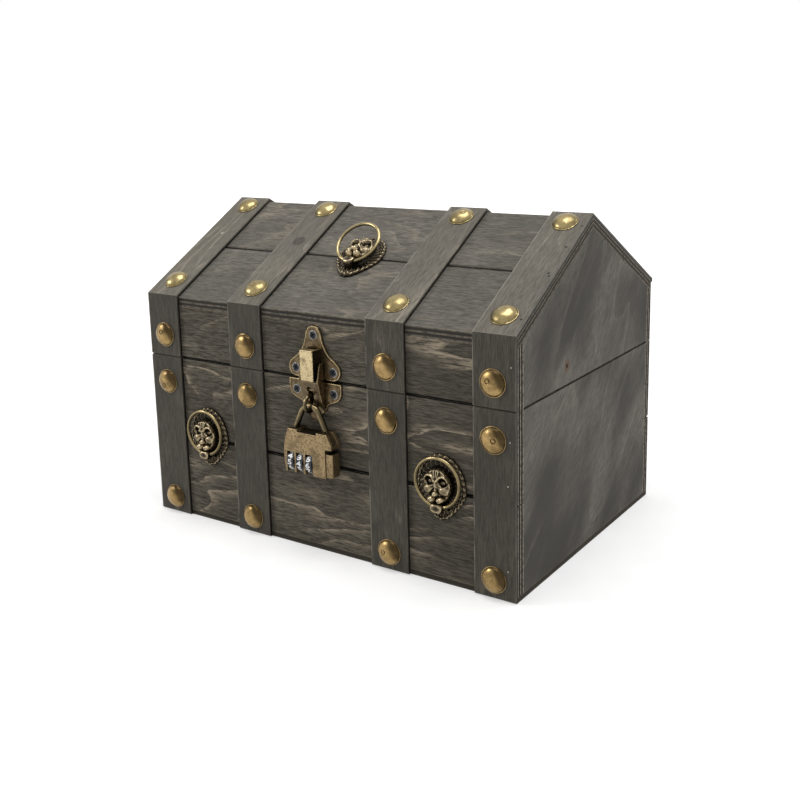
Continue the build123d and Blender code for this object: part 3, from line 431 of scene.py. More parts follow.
fittingLook = {
    "film": (0.028, 0.02, 0.011), "metal": (0.145, 0.105, 0.057), "bright": (0.58, 0.455, 0.245),
    "radius": 0.0005, "breakup": 420.0, "amount": 0.9, "patchy": 0.25, "filmAmount": 0.55, "specks": 0.4,
    "scale": 330.0, "metallic": 0.9, "bump": 0.3, "bumpDepth": 0.0002, "smooth": 0.27, "dull": 0.5, "spots": (),
    "grime": (0.01, 0.008, 0.005), "grimeSide": None, "grimeRange": (0.55, 0.95, 0.9),
}
# Painted shade on faces turned one way: the studs' upper right, the roof studs' left, the hook's right side, the lower
# side of rings and wire, the lock's top faces
studLook = dict(
    fittingLook, film=(0.07, 0.043, 0.015), metal=(0.37, 0.25, 0.102), bright=(0.55, 0.42, 0.22), specks=0.3,
    scale=150.0, smooth=0.24, dull=0.42, grime=(0.03, 0.019, 0.007), grimeSide=(0.8, -0.3, 0.52),
    grimeRange=(0.3, 0.72, 0.9))
# The roof studs' copy of the stud brass is paler, a painted sheen for the top light they face
roofStudSheenLook = dict(
    studLook, metal=(0.35, 0.275, 0.13), film=(0.085, 0.062, 0.024), bright=(0.46, 0.38, 0.2),
    grime=(0.05, 0.037, 0.014), grimeSide=(-0.75, -0.6, 0.26), grimeRange=(0.62, 0.98, 0.8))
hookLook = dict(
    fittingLook, metal=(0.56, 0.45, 0.26), film=(0.13, 0.093, 0.045), bright=(0.85, 0.76, 0.55), filmAmount=0.8,
    specks=0.8, scale=260.0, grimeSide=(1, 0, 0), grimeRange=(0.55, 0.95, 0.95))
ringLook = dict(
    fittingLook, metal=(0.36, 0.285, 0.145), film=(0.12, 0.09, 0.042), filmAmount=0.35, specks=0.1, smooth=0.18,
    dull=0.34, grime=(0.03, 0.023, 0.011), grimeSide=(0.4, -0.15, -0.9), grimeRange=(-0.25, 0.55, 0.85))
wireLook = dict(
    ringLook, metal=(0.24, 0.185, 0.1), film=(0.06, 0.044, 0.022), filmAmount=0.5, grimeSide=(0.85, 0.0, -0.53))
lockLook = dict(
    fittingLook, metal=(0.3, 0.217, 0.116), film=(0.07, 0.049, 0.026), bright=(0.6, 0.48, 0.29),
    filmAmount=0.5, specks=0.9, scale=240.0, amount=0.75, smooth=0.4, dull=0.6, grimeSide=(0, 0, 1))
lionLook = dict(
    fittingLook, metal=(0.088, 0.067, 0.039), film=(0.019, 0.0152, 0.0106), bright=(0.38, 0.31, 0.194),
    filmAmount=0.35, specks=0.3, patchy=0.15, smooth=0.24, dull=0.48)
screwLook = dict(
    fittingLook, film=(0.003, 0.003, 0.0035), metal=(0.045, 0.048, 0.055), bright=(0.4, 0.39, 0.37),
    radius=0.00022, breakup=700.0, amount=0.8, filmAmount=0.4, specks=0.2, scale=500.0, metallic=0.85, bump=0.2,
    patchy=0.6)
latchX = (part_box("latch_base_plate")[0].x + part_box("latch_base_plate")[1].x) / 2
leverFront = turnsOn["lever"].y + 1.7 * mm
# A painted shadow: a near-black spot on the plate behind the lever's keyhole, so the hole reads dark
keyholeShadow = (latchX, leverFront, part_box("latch_staple")[1].z + 0.5 * mm)
plateLook = dict(fittingLook, spots=[(keyholeShadow, 0.0045, (0.006, 0.005, 0.003), 0.95)])
dialLook = dict(screwLook, bright=(0.1, 0.1, 0.1), amount=0.4)
digitLook = dict(
    screwLook, metal=(0.86, 0.86, 0.85), film=(0.6, 0.6, 0.59), bright=(0.92, 0.92, 0.92), filmAmount=0.25,
    metallic=0.0)
studBrass = brassMaterial("studBrass", studLook, relief=True)
roofStudBrass = brassMaterial("roofStudBrass", roofStudSheenLook, relief=True)
fittingBrass = brassMaterial("fittingBrass", fittingLook)
plateBrass = brassMaterial("plateBrass", plateLook, relief=True)
wireBrass = brassMaterial("wireBrass", wireLook)
hookBrass = brassMaterial("hookBrass", hookLook)
ringBrass = brassMaterial("ringBrass", ringLook)
lockBronze = brassMaterial("lockBronze", lockLook)
lionBrass = brassMaterial("lionBrass", lionLook, relief=True)
screwSteel = brassMaterial("screwSteel", screwLook, relief=True)
plainSteel = brassMaterial("plainSteel", screwLook)
dialBlack = brassMaterial("dialBlack", dialLook)
digitSilver = brassMaterial("digitSilver", digitLook)
print("materials made")


def dress(name, material):
    node = nodes[name]
    node.data.materials.clear()
    node.data.materials.append(material)


def spanOf(name, axis):
    corners = [v.co.dot(axis) for v in nodes[name].data.vertices]
    return min(corners), max(corners)


def thicknessOf(name, axis):
    low, high = spanOf(name, axis)
    return high - low


def frontLook(heartAlong, heartAcross, patches=0.45, pull=9.0):
    # Strong growth lines round a heart
    return {
        "streaks": 0.85, "patches": patches, "heartAlong": heartAlong, "heartAcross": heartAcross, "pull": pull}


# Boards: each has its own grain; the numbers are a seed and what differs from the usual look
wall = thicknessOf("body_left_end_panel", rightward)
halfWidth = spanOf("bottom_panel", rightward)[1]
beyond = 1.0
backLook = {"streaks": 0.6, "patches": 0.54}
bottomLook = dict(backLook, shade=1.17, plyLight=(0.07, 0.063, 0.05), plyDark=(0.045, 0.04, 0.032))
boards = {
    "body_front_lower_plank": (1.3, forward, upward, -boardFace, frontLook(0.04, 0.017)),
    "body_front_upper_plank": (2.1, forward, upward, -boardFace, frontLook(0.055, 0.078, patches=0.46)),
    "lid_front_board": (3.4, forward, upward, -boardFace, frontLook(0.02, 0.13, pull=8.0)),
    "body_back_lower_plank": (4.2, backward, upward, backFace, backLook),
    "body_back_upper_plank": (5.6, backward, upward, backFace, backLook),
    "lid_back_board": (6.3, backward, upward, backFace, backLook),
    "bottom_panel": (7.1, -upward, backward, 0.0, bottomLook),
}
for name, (seed, face, across, offset, look) in boards.items():
    low, high = spanOf(name, across)
    if name.endswith("lower_plank") or name == "bottom_panel":
        low = -beyond
    dress(name, woodMaterial(name + "_wood", seed, rightward, across, face, offset, wall, low, high, **look))
roofFace = ridge * math.cos(slope)
roofThickness = thicknessOf("roof_front_upper_plank", upFront)
outerSeam = 0.004
roofLook = {
    "streaks": 0.26, "shade": 1.57, "patches": 0.55, "fibres": 0.85, "seamWidth": 0.0011, "clouds": 0.38,
    "dark": (0.042, 0.039, 0.0335), "middle": (0.112, 0.104, 0.0895), "plyLight": (0.165, 0.144, 0.115),
    "plyDark": (0.04, 0.0365, 0.0315),
}
roofs = {
    "roof_front_lower_plank": (8.4, upFront, alongFront), "roof_front_upper_plank": (10.1, upFront, alongFront),
    "roof_back_lower_plank": (11.8, upBack, alongBack), "roof_back_upper_plank": (13.5, upBack, alongBack),
}
for name, (seed, face, across) in roofs.items():
    low, high = spanOf(name, across)
    low, high = (low - outerSeam, high) if "lower" in name else (low, high + outerSeam)
    dress(name, woodMaterial(
        name + "_wood", seed, rightward, across, face, roofFace - (boardFace - strapFace), roofThickness, low, high,
        **roofLook))
endLook = {
    "streaks": 0.14, "shade": 1.58, "rings": 5.0, "patches": 0.42, "fibres": 0.62, "clouds": 1.0,
    "dark": (0.046, 0.0432, 0.0381), "middle": (0.146, 0.137, 0.121), "light": (0.26, 0.235, 0.195),
    "seamWidth": 0.00045, "seamAcross": upward, "amount": 0.1,
}
knot = [((0.12, -0.0301, 0.1062), radius, colour, strength) for radius, colour, strength in (
    (0.0034, (0.15, 0.09, 0.058), 0.65), (0.0013, (0.025, 0.014, 0.01), 0.9))]
ends = {
    "body_right_end_panel": (15.2, 1, 46, ()), "lid_right_end_panel": (17.5, 1, 50, knot),
    "body_left_end_panel": (19.8, -1, 46, ()), "lid_left_end_panel": (22.1, -1, 38, ()),
}
for name, (seed, side, degrees, spots) in ends.items():
    tilt = math.radians(degrees)
    low, high = spanOf(name, upward)
    low, high = (-beyond, high) if name.startswith("body") else (low, beyond)
    along, across = Vector((0, math.cos(tilt), math.sin(tilt))), Vector((0, -math.sin(tilt), math.cos(tilt)))
    dress(name, woodMaterial(
        name + "_wood", seed, along, across, (side, 0, 0), halfWidth, wall, low, high, spots=spots, **endLook))

# Straps, with the marks that the wood has: nail holes, a knot, specks of filler
hole, filler = (0.003, 0.003, 0.003), (0.62, 0.6, 0.56)
roofSpots = {
    "left": [((-0.0461, -0.0349, 0.1606), 0.0042, (0.035, 0.03, 0.025), 0.65),
             ((-0.0461, -0.0349, 0.1606), 0.0016, (0.075, 0.066, 0.055), 0.6)],
    "far_right": [(place, 0.0007, hole, 0.95) for place in (
        (0.1169, -0.0256, 0.1657), (0.1165, -0.0442, 0.1554), (0.1176, -0.046, 0.1544), (0.1175, -0.0748, 0.1384),
        (0.1183, -0.01, 0.1744))],
    "far_left": [((-0.1078, -0.033, 0.1617), 0.0011, filler, 0.35)],
}


def specks(*places):
    return [((x, -0.085, z), 0.0004, filler, 0.8) for x, z in places]


bodySpots = {"far_right": specks((0.1169, 0.0812), (0.1158, 0.0592), (0.1157, 0.0159))}
# The roof straps' colours are lightened as a painted sheen from the top light
roofStrapSheen = 2.65
strapNames = ("far_left", "left", "right", "far_right")
lefts = [spanOf("body_strap_" + name, rightward)[0] for name in strapNames]
for number, name in enumerate(strapNames):
    dress("body_strap_" + name, strapMaterial(
        "body_strap_wood_" + name, 31.0 + number * 1.9, upward, forward, -strapFace, [lefts[number]],
        spots=bodySpots.get(name, ())))
    dress("roof_strap_" + name, strapMaterial(
        "roof_strap_wood_" + name, 41.0 + number * 1.3, alongFront, upFront, roofFace, [lefts[number]],
        shade=roofStrapSheen, spots=roofSpots.get(name, ())))
dress("lid_front_straps", strapMaterial(
    "lid_front_strap_wood", 51.0, upward, forward, -strapFace, lefts, spots=specks((0.1176, 0.1175))))
dress("roof_back_straps", strapMaterial(
    "roof_back_strap_wood", 57.0, alongBack, upBack, roofFace, lefts, shade=roofStrapSheen))
print("boards and straps dressed")


# Short helpers for objects and meshes
def newObject(name, data):
    made = bpy.data.objects.new(name, data)
    bpy.context.scene.collection.objects.link(made)
    return made


def pieceFrom(name, mesh, body, slot, *replaced):
    piece = newObject(name, mesh)
    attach(piece, body)
    if replaced:
        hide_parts(*replaced)
    return piece


def opened(*meshes, merge=0.0):
    # The meshes together, open for edits, with their doubles merged
    work = bmesh.new()
    for mesh in meshes:
        work.from_mesh(mesh)
    if merge:
        bmesh.ops.remove_doubles(work, verts=work.verts, dist=merge)
    return work


def written(work, name, *materials):
    mesh = bpy.data.meshes.new(name)
    work.to_mesh(mesh)
    work.free()
    for material in materials:
        mesh.materials.append(material)
    return mesh


def joinedMesh(name, meshes):
    return written(opened(*meshes), name, *meshes[0].materials)


def smoothed(mesh, degrees):
    mesh.shade_smooth()
    mesh.set_sharp_from_angle(angle=math.radians(degrees))
    return mesh


def closeAndSmooth(mesh, degrees, merge=1e-8):
    # Doubles merged, faces turned outwards, soft shading up to an angle
    work = opened(mesh, merge=merge)
    bmesh.ops.recalc_face_normals(work, faces=work.faces)
    work.to_mesh(mesh)
    work.free()
    return smoothed(mesh, degrees)


def cut(work, place, way, **settings):
    everything = list(work.verts) + list(work.edges) + list(work.faces)
    bmesh.ops.bisect_plane(work, geom=everything, plane_co=place, plane_no=way, **settings)


def meshOf(name, points, faces, material, relief=None):
    mesh = bpy.data.meshes.new(name)
    mesh.from_pydata(points, [], faces)
    if relief is not None:
        layer = mesh.attributes.new("relief", "FLOAT", "POINT")
        layer.data.foreach_set("value", relief)
    mesh.materials.append(material)
    return mesh


def roundOf(steps):
    return [2 * math.pi * step / steps for step in range(steps)]


def bands(loops, steps, first=0, closed=False):
    # Faces between loops of points that follow each other, each loop joined to its own start
    faces = []
    for loop in range(loops if closed else loops - 1):
        a, b = first + loop * steps, first + (loop + 1) % loops * steps
        faces += [(a + i, b + i, b + (i + 1) % steps, a + (i + 1) % steps) for i in range(steps)]
    return faces


def reliefMesh(name, outlineAt, heightAt, reliefAt, skirt, size, material):
    # A round or lobed form: rings of points from the middle to the outline, then a skirt that closes it behind
    rings, spokes = size
    loops = [(ring / rings, None, None) for ring in range(1, rings + 1)] + skirt
    points, relief = [(0, 0, heightAt(0, 0))], [reliefAt(0, 0)]
    for scale, z, value in loops:
        for angle in roundOf(spokes):
            reach = outlineAt(angle) * scale
            x, y = reach * math.cos(angle), reach * math.sin(angle)
            points.append((x, y, heightAt(x, y) if z is None else z))
            relief.append(reliefAt(x, y) if value is None else value)
    last, rim = len(points), len(points) - spokes
    points.append((0, 0, skirt[-1][1]))
    relief.append(skirt[-1][2])
    faces = bands(len(loops), spokes, 1)
    for spoke in range(spokes):
        after = (spoke + 1) % spokes
        faces += [(0, 1 + spoke, 1 + after), (last, rim + after, rim + spoke)]
    return meshOf(name, points, faces, material, relief)


def softStep(low, high, value):
    share = min(1.0, max(0.0, (value - low) / (high - low)))
    return share * share * (3 - 2 * share)


def moundAt(x, y, cx, cy, rx, ry):
    share = 1 - ((x - cx) / rx) ** 2 - ((y - cy) / ry) ** 2
    return share * share * (3 - 2 * share) if share > 0 else 0.0


def bell(value, width):
    return math.exp(-(value / width) ** 2)


def looseParts(name):
    # The points of the separate bodies in a CAD node
    work = opened(nodes[name].data, merge=1e-6)
    left, parts = set(work.verts), []
    while left:
        reached = [left.pop()]
        part = list(reached)
        while reached:
            fresh = {v for edge in reached.pop().link_edges for v in edge.verts} & left
            left -= fresh
            reached += fresh
            part += fresh
        parts.append([v.co.copy() for v in part])
    work.free()
    return parts


def placesOf(name, out, headHeight):
    # Where each fastener of a CAD node has its head's seat, with the way it points
    along = out.cross(rightward)
    found = []
    for part in looseParts(name):
        seat = out * (max(p.dot(out) for p in part) - headHeight)
        for way in (rightward, along):
            reach = [p.dot(way) for p in part]
            seat = seat + way * ((min(reach) + max(reach)) / 2)
        found.append((seat, out))
    return sorted(found, key=lambda f: (round(f[0].x, 4), round(f[0].z, 4)))


def buildFasteners(places, shape, spin, dent, dentSize, seed, material):
    # One shape set on many places, each turned by chance and a little dented
    tree = places.tree
    axis = add(tree, "GeometryNodeInputNamedAttribute", 0, {"Name": "axis"}, data_type="FLOAT_VECTOR")
    aligned = add(tree, "FunctionNodeAlignRotationToVector", 0, {"Vector": axis}, axis="Z")
    angle = add(tree, "FunctionNodeRandomValue", 1, {3: spin, "Seed": seed}, data_type="FLOAT")
    turn = add(tree, "FunctionNodeAxisAngleToRotation", 0, {"Axis": (0, 0, 1), "Angle": angle})
    turned = add(
        tree, "FunctionNodeRotateRotation", 0, {"Rotation": aligned, "Rotate By": turn}, rotation_space="LOCAL")
    placed = add(tree, "GeometryNodeInstanceOnPoints", 0, {
        "Points": places, "Rotation": turned,
        "Instance": add(tree, "GeometryNodeObjectInfo", "Geometry", {"Object": shape})})
    uneven = noiseOf(add(tree, "GeometryNodeInputPosition", 0), dentSize, 1.0) - 0.5
    push = add(tree, "ShaderNodeVectorMath", 0, {
        0: add(tree, "GeometryNodeInputNormal", 0), "Scale": uneven * dent}, operation="SCALE")
    dented = add(tree, "GeometryNodeSetPosition", 0, {
        "Geometry": add(tree, "GeometryNodeRealizeInstances", 0, {"Geometry": placed}), "Offset": push})
    return [add(tree, "GeometryNodeSetMaterial", 0, {"Geometry": dented, "Material": material})]


# Geometry nodes that set studs and screws
fastenerTree = newGroup("fastenersOnPlaces", {
    "Places": "Geometry", "Shape": "Object", "Spin": 0.0, "Dent": 0.0, "Dent size": 200.0, "Seed": 1,
    "Material": "Material",
}, {"Geometry": "Geometry"}, buildFasteners, "GeometryNodeTree")


def grownOn(places, shapeMesh, settings):
    # The tree's result for these places, as a plain mesh
    cloud = bpy.data.meshes.new("places")
    cloud.from_pydata([p for p, _ in places], [], [])
    axis = cloud.attributes.new("axis", "FLOAT_VECTOR", "POINT")
    axis.data.foreach_set("vector", [c for _, way in places for c in way])
    shape, carrier = newObject("fastenerShape", shapeMesh), newObject("fastenerPlaces", cloud)
    modifier = carrier.modifiers.new("fasteners", "NODES")
    modifier.node_group = fastenerTree
    sockets = {item.name: item.identifier for item in fastenerTree.interface.items_tree if item.in_out == "INPUT"}
    for title, value in dict(settings, Shape=shape).items():
        modifier[sockets[title]] = value
    bpy.context.view_layer.update()
    evaluated = carrier.evaluated_get(bpy.context.evaluated_depsgraph_get())
    mesh = bpy.data.meshes.new_from_object(evaluated)
    carrier.modifiers.remove(modifier)
    for helper in (carrier, shape):
        bpy.data.objects.remove(helper)
    return mesh


# Domed studs, some with a small ring stamped off centre
studs = {
    "radius": 7.0, "height": 3.6, "flange": 0.45, "flangeShare": 0.955, "shank": 1.0, "shankLength": 5.0,
    "stampRadius": 1.15, "stampWidth": 0.32, "stampDepth": 0.22, "stampAside": 1.9, "stamped": 3,
    "dent": 0.00046, "dentSize": 170.0,
}


def studMesh(stamped):
    radius, height, flange = studs["radius"] * mm, studs["height"] * mm, studs["flange"] * mm
    shoulder = radius * studs["flangeShare"]

    def stampAt(x, y, width):
        away = abs(math.hypot(x - studs["stampAside"] * mm, y) - studs["stampRadius"] * mm) / (width * mm)
        return max(0.0, 1 - away * away) if stamped else 0.0

    def heightAt(x, y):
        away = math.hypot(x, y) / shoulder
        z = flange + (height - flange) * max(0.0, 1 - away ** 2.15) ** 0.62 if away < 1 else flange * 0.9
        return z - studs["stampDepth"] * mm * stampAt(x, y, studs["stampWidth"])

    def reliefAt(x, y):
        away = math.hypot(x, y) / radius
        # Painted shade on the dome's steep foot and a painted highlight on its flat rim; the stamped ring is darker
        value = 0.5 + 0.16 * softStep(0.965, 0.99, away) - 0.2 * moundAt(away, 0, 0.935, 0, 0.04, 1)
        return value - 0.28 * stampAt(x, y, 0.4)

    share = studs["shank"] / studs["radius"]
    skirt = [(1.0, 0.15 * mm, 0.5), (0.98, 0.0, 0.3), (share, 0.0, 0.3), (share, -studs["shankLength"] * mm, 0.3)]
    size = (44, 84) if stamped else (22, 60)
    return reliefMesh("studShape", lambda angle: radius, heightAt, reliefAt, skirt, size, studBrass)


plainStud, stampedStud = studMesh(False), studMesh(True)
for seed, (name, out) in enumerate((("body_studs", forward), ("lid_front_studs", forward), ("roof_studs", upFront))):
    places = placesOf(name, out, studs["height"] * mm)
    marked = [p for i, p in enumerate(places) if (i + seed) % studs["stamped"] == 1]
    plain = [p for p in places if p not in marked]
    settings = {
        "Spin": 2 * math.pi, "Dent": studs["dent"], "Dent size": studs["dentSize"], "Seed": 7 + seed,
        "Material": roofStudBrass if out is upFront else studBrass,
    }
    mesh = joinedMesh(name + "_domed", [grownOn(plain, plainStud, settings), grownOn(marked, stampedStud, settings)])
    pieceFrom(name + "_domed", smoothed(mesh, 50), bodyOf[name], "stud_brass", name)
print("studs set")

# Screws with a cross recess
screws = {
    "latch": {"head": 2.45, "dome": 0.9, "shank": 1.1, "floor": 0.57},
    "hinge": {"head": 1.6, "dome": 0.7, "shank": 0.8, "floor": 0.25},
    "lion": {"head": 3.0, "dome": 1.6, "shank": 1.5, "floor": 0.7},
    "rimShare": 0.76, "recessShare": 0.62, "armShare": 0.15,
}


def screwMesh(kind, length):
    values = screws[kind]
    radius, dome = values["head"] * mm, values["dome"] * mm

    def recessAt(x, y):
        away = math.hypot(x, y) / radius
        widening = screws["armShare"] * (1.25 - 0.5 * away)
        inside = 1 - softStep(widening * 0.7, widening * 1.25, min(abs(x), abs(y)) / radius)
        return inside * (1 - softStep(screws["recessShare"] * 0.85, screws["recessShare"], away))

    def heightAt(x, y):
        away = math.hypot(x, y) / radius
        z = dome * (screws["rimShare"] + (1 - screws["rimShare"]) * math.sqrt(max(0.0, 1 - away * away)))
        return z - recessAt(x, y) * (z - values["floor"] * mm)

    def reliefAt(x, y):
        rim = softStep(0.84, 0.95, math.hypot(x, y) / radius)
        return 0.47 + 0.36 * rim - 0.6 * recessAt(x, y)

    share = values["shank"] / values["head"]
    skirt = [(1.0, 0.12 * dome, 0.5), (0.98, 0.0, 0.3), (share, 0.0, 0.3), (share, -length * mm, 0.3)]
    return reliefMesh("screwShape", lambda angle: radius, heightAt, reliefAt, skirt, (16, 48), screwSteel)


for seed, (name, kind, out) in enumerate((
    ("latch_catch_screws", "latch", forward), ("latch_base_screws", "latch", forward),
    ("hinge_body_screws", "hinge", backward), ("hinge_lid_screws", "hinge", backward),
    ("lion_screws_front", "lion", backward), ("lion_screw_roof", "lion", -upFront),
)):
    dome = screws[kind]["dome"] * mm
    reach = [p.dot(out) for p in looseParts(name)[0]]
    length = (max(reach) - min(reach) - dome) / mm
    mesh = grownOn(placesOf(name, out, dome), screwMesh(kind, length), {
        "Spin": math.pi, "Dent": 0.0, "Dent size": 100.0, "Seed": 3 + seed, "Material": screwSteel})
    pieceFrom(name + "_crossed", smoothed(mesh, 50), bodyOf[name], "screw_steel", name)
print("screws set")

# Lion's head ring pulls: a cast head on a lobed plate, sizes in millimetres from the plate's middle
lion = {
    "halfWidth": 14.3, "halfHeight": 17.3, "lobes": 30, "lobeDepth": 0.45, "plate": 1.05, "locks": 26,
    "beardStrokes": 34, "headX": 8.5, "headY": 9.6, "headMiddle": 1.9, "headRise": 4.1, "headDome": 1.5,
    "eyeX": 3.9, "eyeY": 4.5, "browRadius": 3.0, "browWidth": 0.74, "brow": 1.35, "furrow": 0.85, "noseRidge": 1.15,
    "pad": 3.0, "padX": 2.75, "padY": -4.7, "jawY": -9.2, "jawZ": 5.0, "bore": 1.36, "jawHalfWidth": 3.3,
    "jawMiddle": (-9.7, 4.4), "jawHalf": (2.75, 3.0),
    # Mounds and hollows of the face: height, place to each side, place upwards, half width, half height
    "mounds": {
        "eyeSocket": (-2.1, 3.9, 4.3, 2.8, 2.3), "eyeball": (1.8, 3.8, 4.2, 1.7, 1.4), "nose": (1.6, 0, -1.5, 2.0, 1.7),
        "nostril": (-0.8, 1.1, -2.9, 0.7, 0.6), "cheek": (1.35, 4.8, 0.1, 3.8, 2.7),
    },
}


def lionOutline(angle):
    c, s = math.cos(angle), math.sin(angle)
    width = lion["halfWidth"] * (1.0 if s > -0.15 else 1 - 0.3 * ((-s - 0.15) / 0.85) ** 1.4)
    reach = 1 / math.sqrt((c / width) ** 2 + (s / lion["halfHeight"]) ** 2)
    lobes = abs(math.sin(angle * lion["lobes"] / 2))
    return (reach - lion["lobeDepth"] * (1 - lobes) ** 1.3) * mm


def shareOut(x, y):
    # How far out on the plate, as a share of the outline
    return math.hypot(x, y) / (lionOutline(math.atan2(y, x)) / mm)


def maneHeight(x, y):
    # Locks that fan out, a gutter, a beaded rim, and a comb of strokes under the jaw
    angle, share = math.atan2(y, x), shareOut(x, y)
    locks = math.sin(angle * lion["locks"] + 1.6 * math.sin(math.hypot(x, y) * 0.9))
    z = (0.3 + 0.3 * locks) * softStep(0.98, 0.9, share) * softStep(0.5, 0.62, share)
    bead = 0.5 + 0.5 * math.cos(angle * lion["lobes"] + math.pi)
    z += (0.2 + 0.32 * bead) * moundAt(share, 0, 0.945, 0, 0.05, 1) - 0.35 * moundAt(share, 0, 0.875, 0, 0.03, 1)
    beard = softStep(-9.5, -12.0, y) * softStep(7.5, 5.5, abs(x)) * softStep(0.99, 0.93, share)
    stroke = 0.5 + 0.5 * math.cos(math.atan2(x, -(y + 6.0)) * lion["beardStrokes"])
    return z + beard * (0.55 + 0.75 * stroke)


def faceHeight(x, y):
    # Brows, furrows, the nose's ridge, and the mounds of the face
    side, fromEyeY = abs(x), y - lion["eyeY"]
    z = sum(rise * moundAt(side, y, *place) for rise, *place in lion["mounds"].values())
    fromEye = math.hypot(side - lion["eyeX"], fromEyeY)
    turn = math.degrees(math.atan2(fromEyeY, side - lion["eyeX"]))
    brow = softStep(-12, 18, turn) * softStep(196, 165, turn)
    z += lion["brow"] * brow * bell(fromEye - lion["browRadius"], lion["browWidth"])
    furrows = sum(bell(x - k * (0.75 + 0.2 * (y - 6.5)), 0.34 + 0.03 * (y - 6.0)) for k in (-1, 0, 1))
    z += lion["furrow"] * softStep(5.8, 7.2, y) * softStep(11.0, 9.4, y) * furrows
    ridgeWidth = 0.75 + 0.16 * max(0.0, 4.5 - y)
    z += lion["noseRidge"] * softStep(6.6, 4.8, y) * softStep(-3.4, -2.0, y) * bell(x, ridgeWidth)
    fold = bell((side - 2.6) * 0.8 + (y + 1.4) * 0.6, 0.55)
    return z - 0.9 * fold * softStep(-3.6, -1.6, y) * softStep(2.5, 0.5, y)


def lionHeight(x, y):
    # Height over the board in millimetres
    side = abs(x)
    z = lion["plate"] + maneHeight(x, y)
    q = math.sqrt((x / lion["headX"]) ** 2 + ((y - lion["headMiddle"]) / lion["headY"]) ** 2)
    head = softStep(1.03, 0.84, q)
    if head > 0:
        z += head * (lion["headRise"] + lion["headDome"] * (1 - q * q)) + faceHeight(x, y) * softStep(1.02, 0.9, q)
    z += lion["pad"] * moundAt(side, y, lion["padX"], lion["padY"], 2.75, 2.35) * softStep(0.0, 0.9, side + 0.35)
    z -= 0.9 * bell(x, 0.38) * softStep(-2.9, -3.6, y) * softStep(-7.6, -6.8, y)
    # Room for the ring where it stands off the face and at the ends of the bore
    if y < -6.2:
        z = min(z, (2.1 if side > 3.0 else 4.2) + softStep(-7.4, -6.2, y) * 4.0)
    if y > 8.5 and q > 1:
        z = min(z, 1.65)
    return z


def lionRelief(x, y):
    # Bright where the casting stands proud of its surroundings, dark in its hollows
    step = 0.45
    nearby = sum(lionHeight(x + a * step, y + b * step) for a, b in ((1, 0), (-1, 0), (0, 1), (0, -1))) / 4
    here = lionHeight(x, y)
    eye = moundAt(abs(x), y, lion["eyeX"], lion["eyeY"] - 0.2, 2.6, 2.1)
    value = 0.22 + 0.36 * softStep(3.4, 7.2, here) + 0.2 * softStep(0.9, 0.96, shareOut(x, y)) - 0.16 * eye
    return value + min(0.45, (here - nearby) * 2.1)


def lionJaw(steps=56):
    # A rounded block with the ring's bore through it, and a U-shaped lip
    stations = [-1.0, -0.96, -0.86, -0.5, 0.0, 0.5, 0.86, 0.96, 1.0]
    (middleY, middleZ), (halfY, halfZ) = lion["jawMiddle"], lion["jawHalf"]
    points, relief = [], []

    def reachAt(angle, shrink):
        low, high = 0.0, 6.0
        for _ in range(24):
            reach = (low + high) / 2
            y = (lion["jawY"] + reach * math.cos(angle) - middleY) / (halfY * shrink)
            z = (lion["jawZ"] + reach * math.sin(angle) - middleZ) / (halfZ * shrink)
            low, high = (reach, high) if abs(y) ** 2.7 + abs(z) ** 2.7 < 1 else (low, reach)
        return low

    for share in stations:
        shrink = 1.0 - 0.16 * max(0.0, (abs(share) - 0.7) / 0.3) ** 2
        for angle in roundOf(steps):
            reach = reachAt(angle, shrink)
            y, z = lion["jawY"] + reach * math.cos(angle), lion["jawZ"] + reach * math.sin(angle)
            x = share * lion["jawHalfWidth"] * (1 - 0.34 * softStep(-9.2, -12.4, y))
            hollow = 0.75 * moundAt(x, y, 0, -9.5, 2.3, 1.6) * softStep(6.0, 7.0, z)
            points.append(Vector((x, y, z - hollow)) * mm)
            relief.append(0.34 + 0.44 * softStep(5.8, 7.3, z) - 0.8 * min(1.0, hollow))
    centre = Vector((0, lion["jawY"], lion["jawZ"]))
    for share in reversed(stations):
        middle = centre + rightward * (share * lion["jawHalfWidth"] * 0.98)
        points += [(middle + lion["bore"] * Vector((0, math.cos(a), math.sin(a)))) * mm for a in roundOf(steps)]
    relief += [0.2] * (len(points) - len(relief))
    return meshOf("jaw", points, bands(2 * len(stations), steps, closed=True), lionBrass, relief)


lionHead = reliefMesh(
    "lionHead", lionOutline, lambda x, y: lionHeight(x / mm, y / mm) * mm, lambda x, y: lionRelief(x / mm, y / mm),
    [(1.0, 0.35 * mm, 0.4), (0.985, 0.0, 0.3)], (104, 300), lionBrass)
lionHead = closeAndSmooth(joinedMesh("lionHead", [lionHead, lionJaw()]), 60, 1e-7)
for name, ring, upBoard, out in (
    ("lion_plate_left", "ring_left", upward, forward), ("lion_plate_right", "ring_right", upward, forward),
    ("lion_plate_roof", "ring_roof", alongFront, upFront),
):
    mesh = lionHead.copy()
    axes = Matrix((rightward, upBoard, out)).transposed().to_4x4()
    origin = turnsOn[ring] - upBoard * (lion["jawY"] * mm) - out * (lion["jawZ"] * mm)
    mesh.transform(Matrix.Translation(origin) @ axes)
    pieceFrom(name + "_cast", mesh, bodyOf[name], "antique_brass", name)
print("lion heads set")


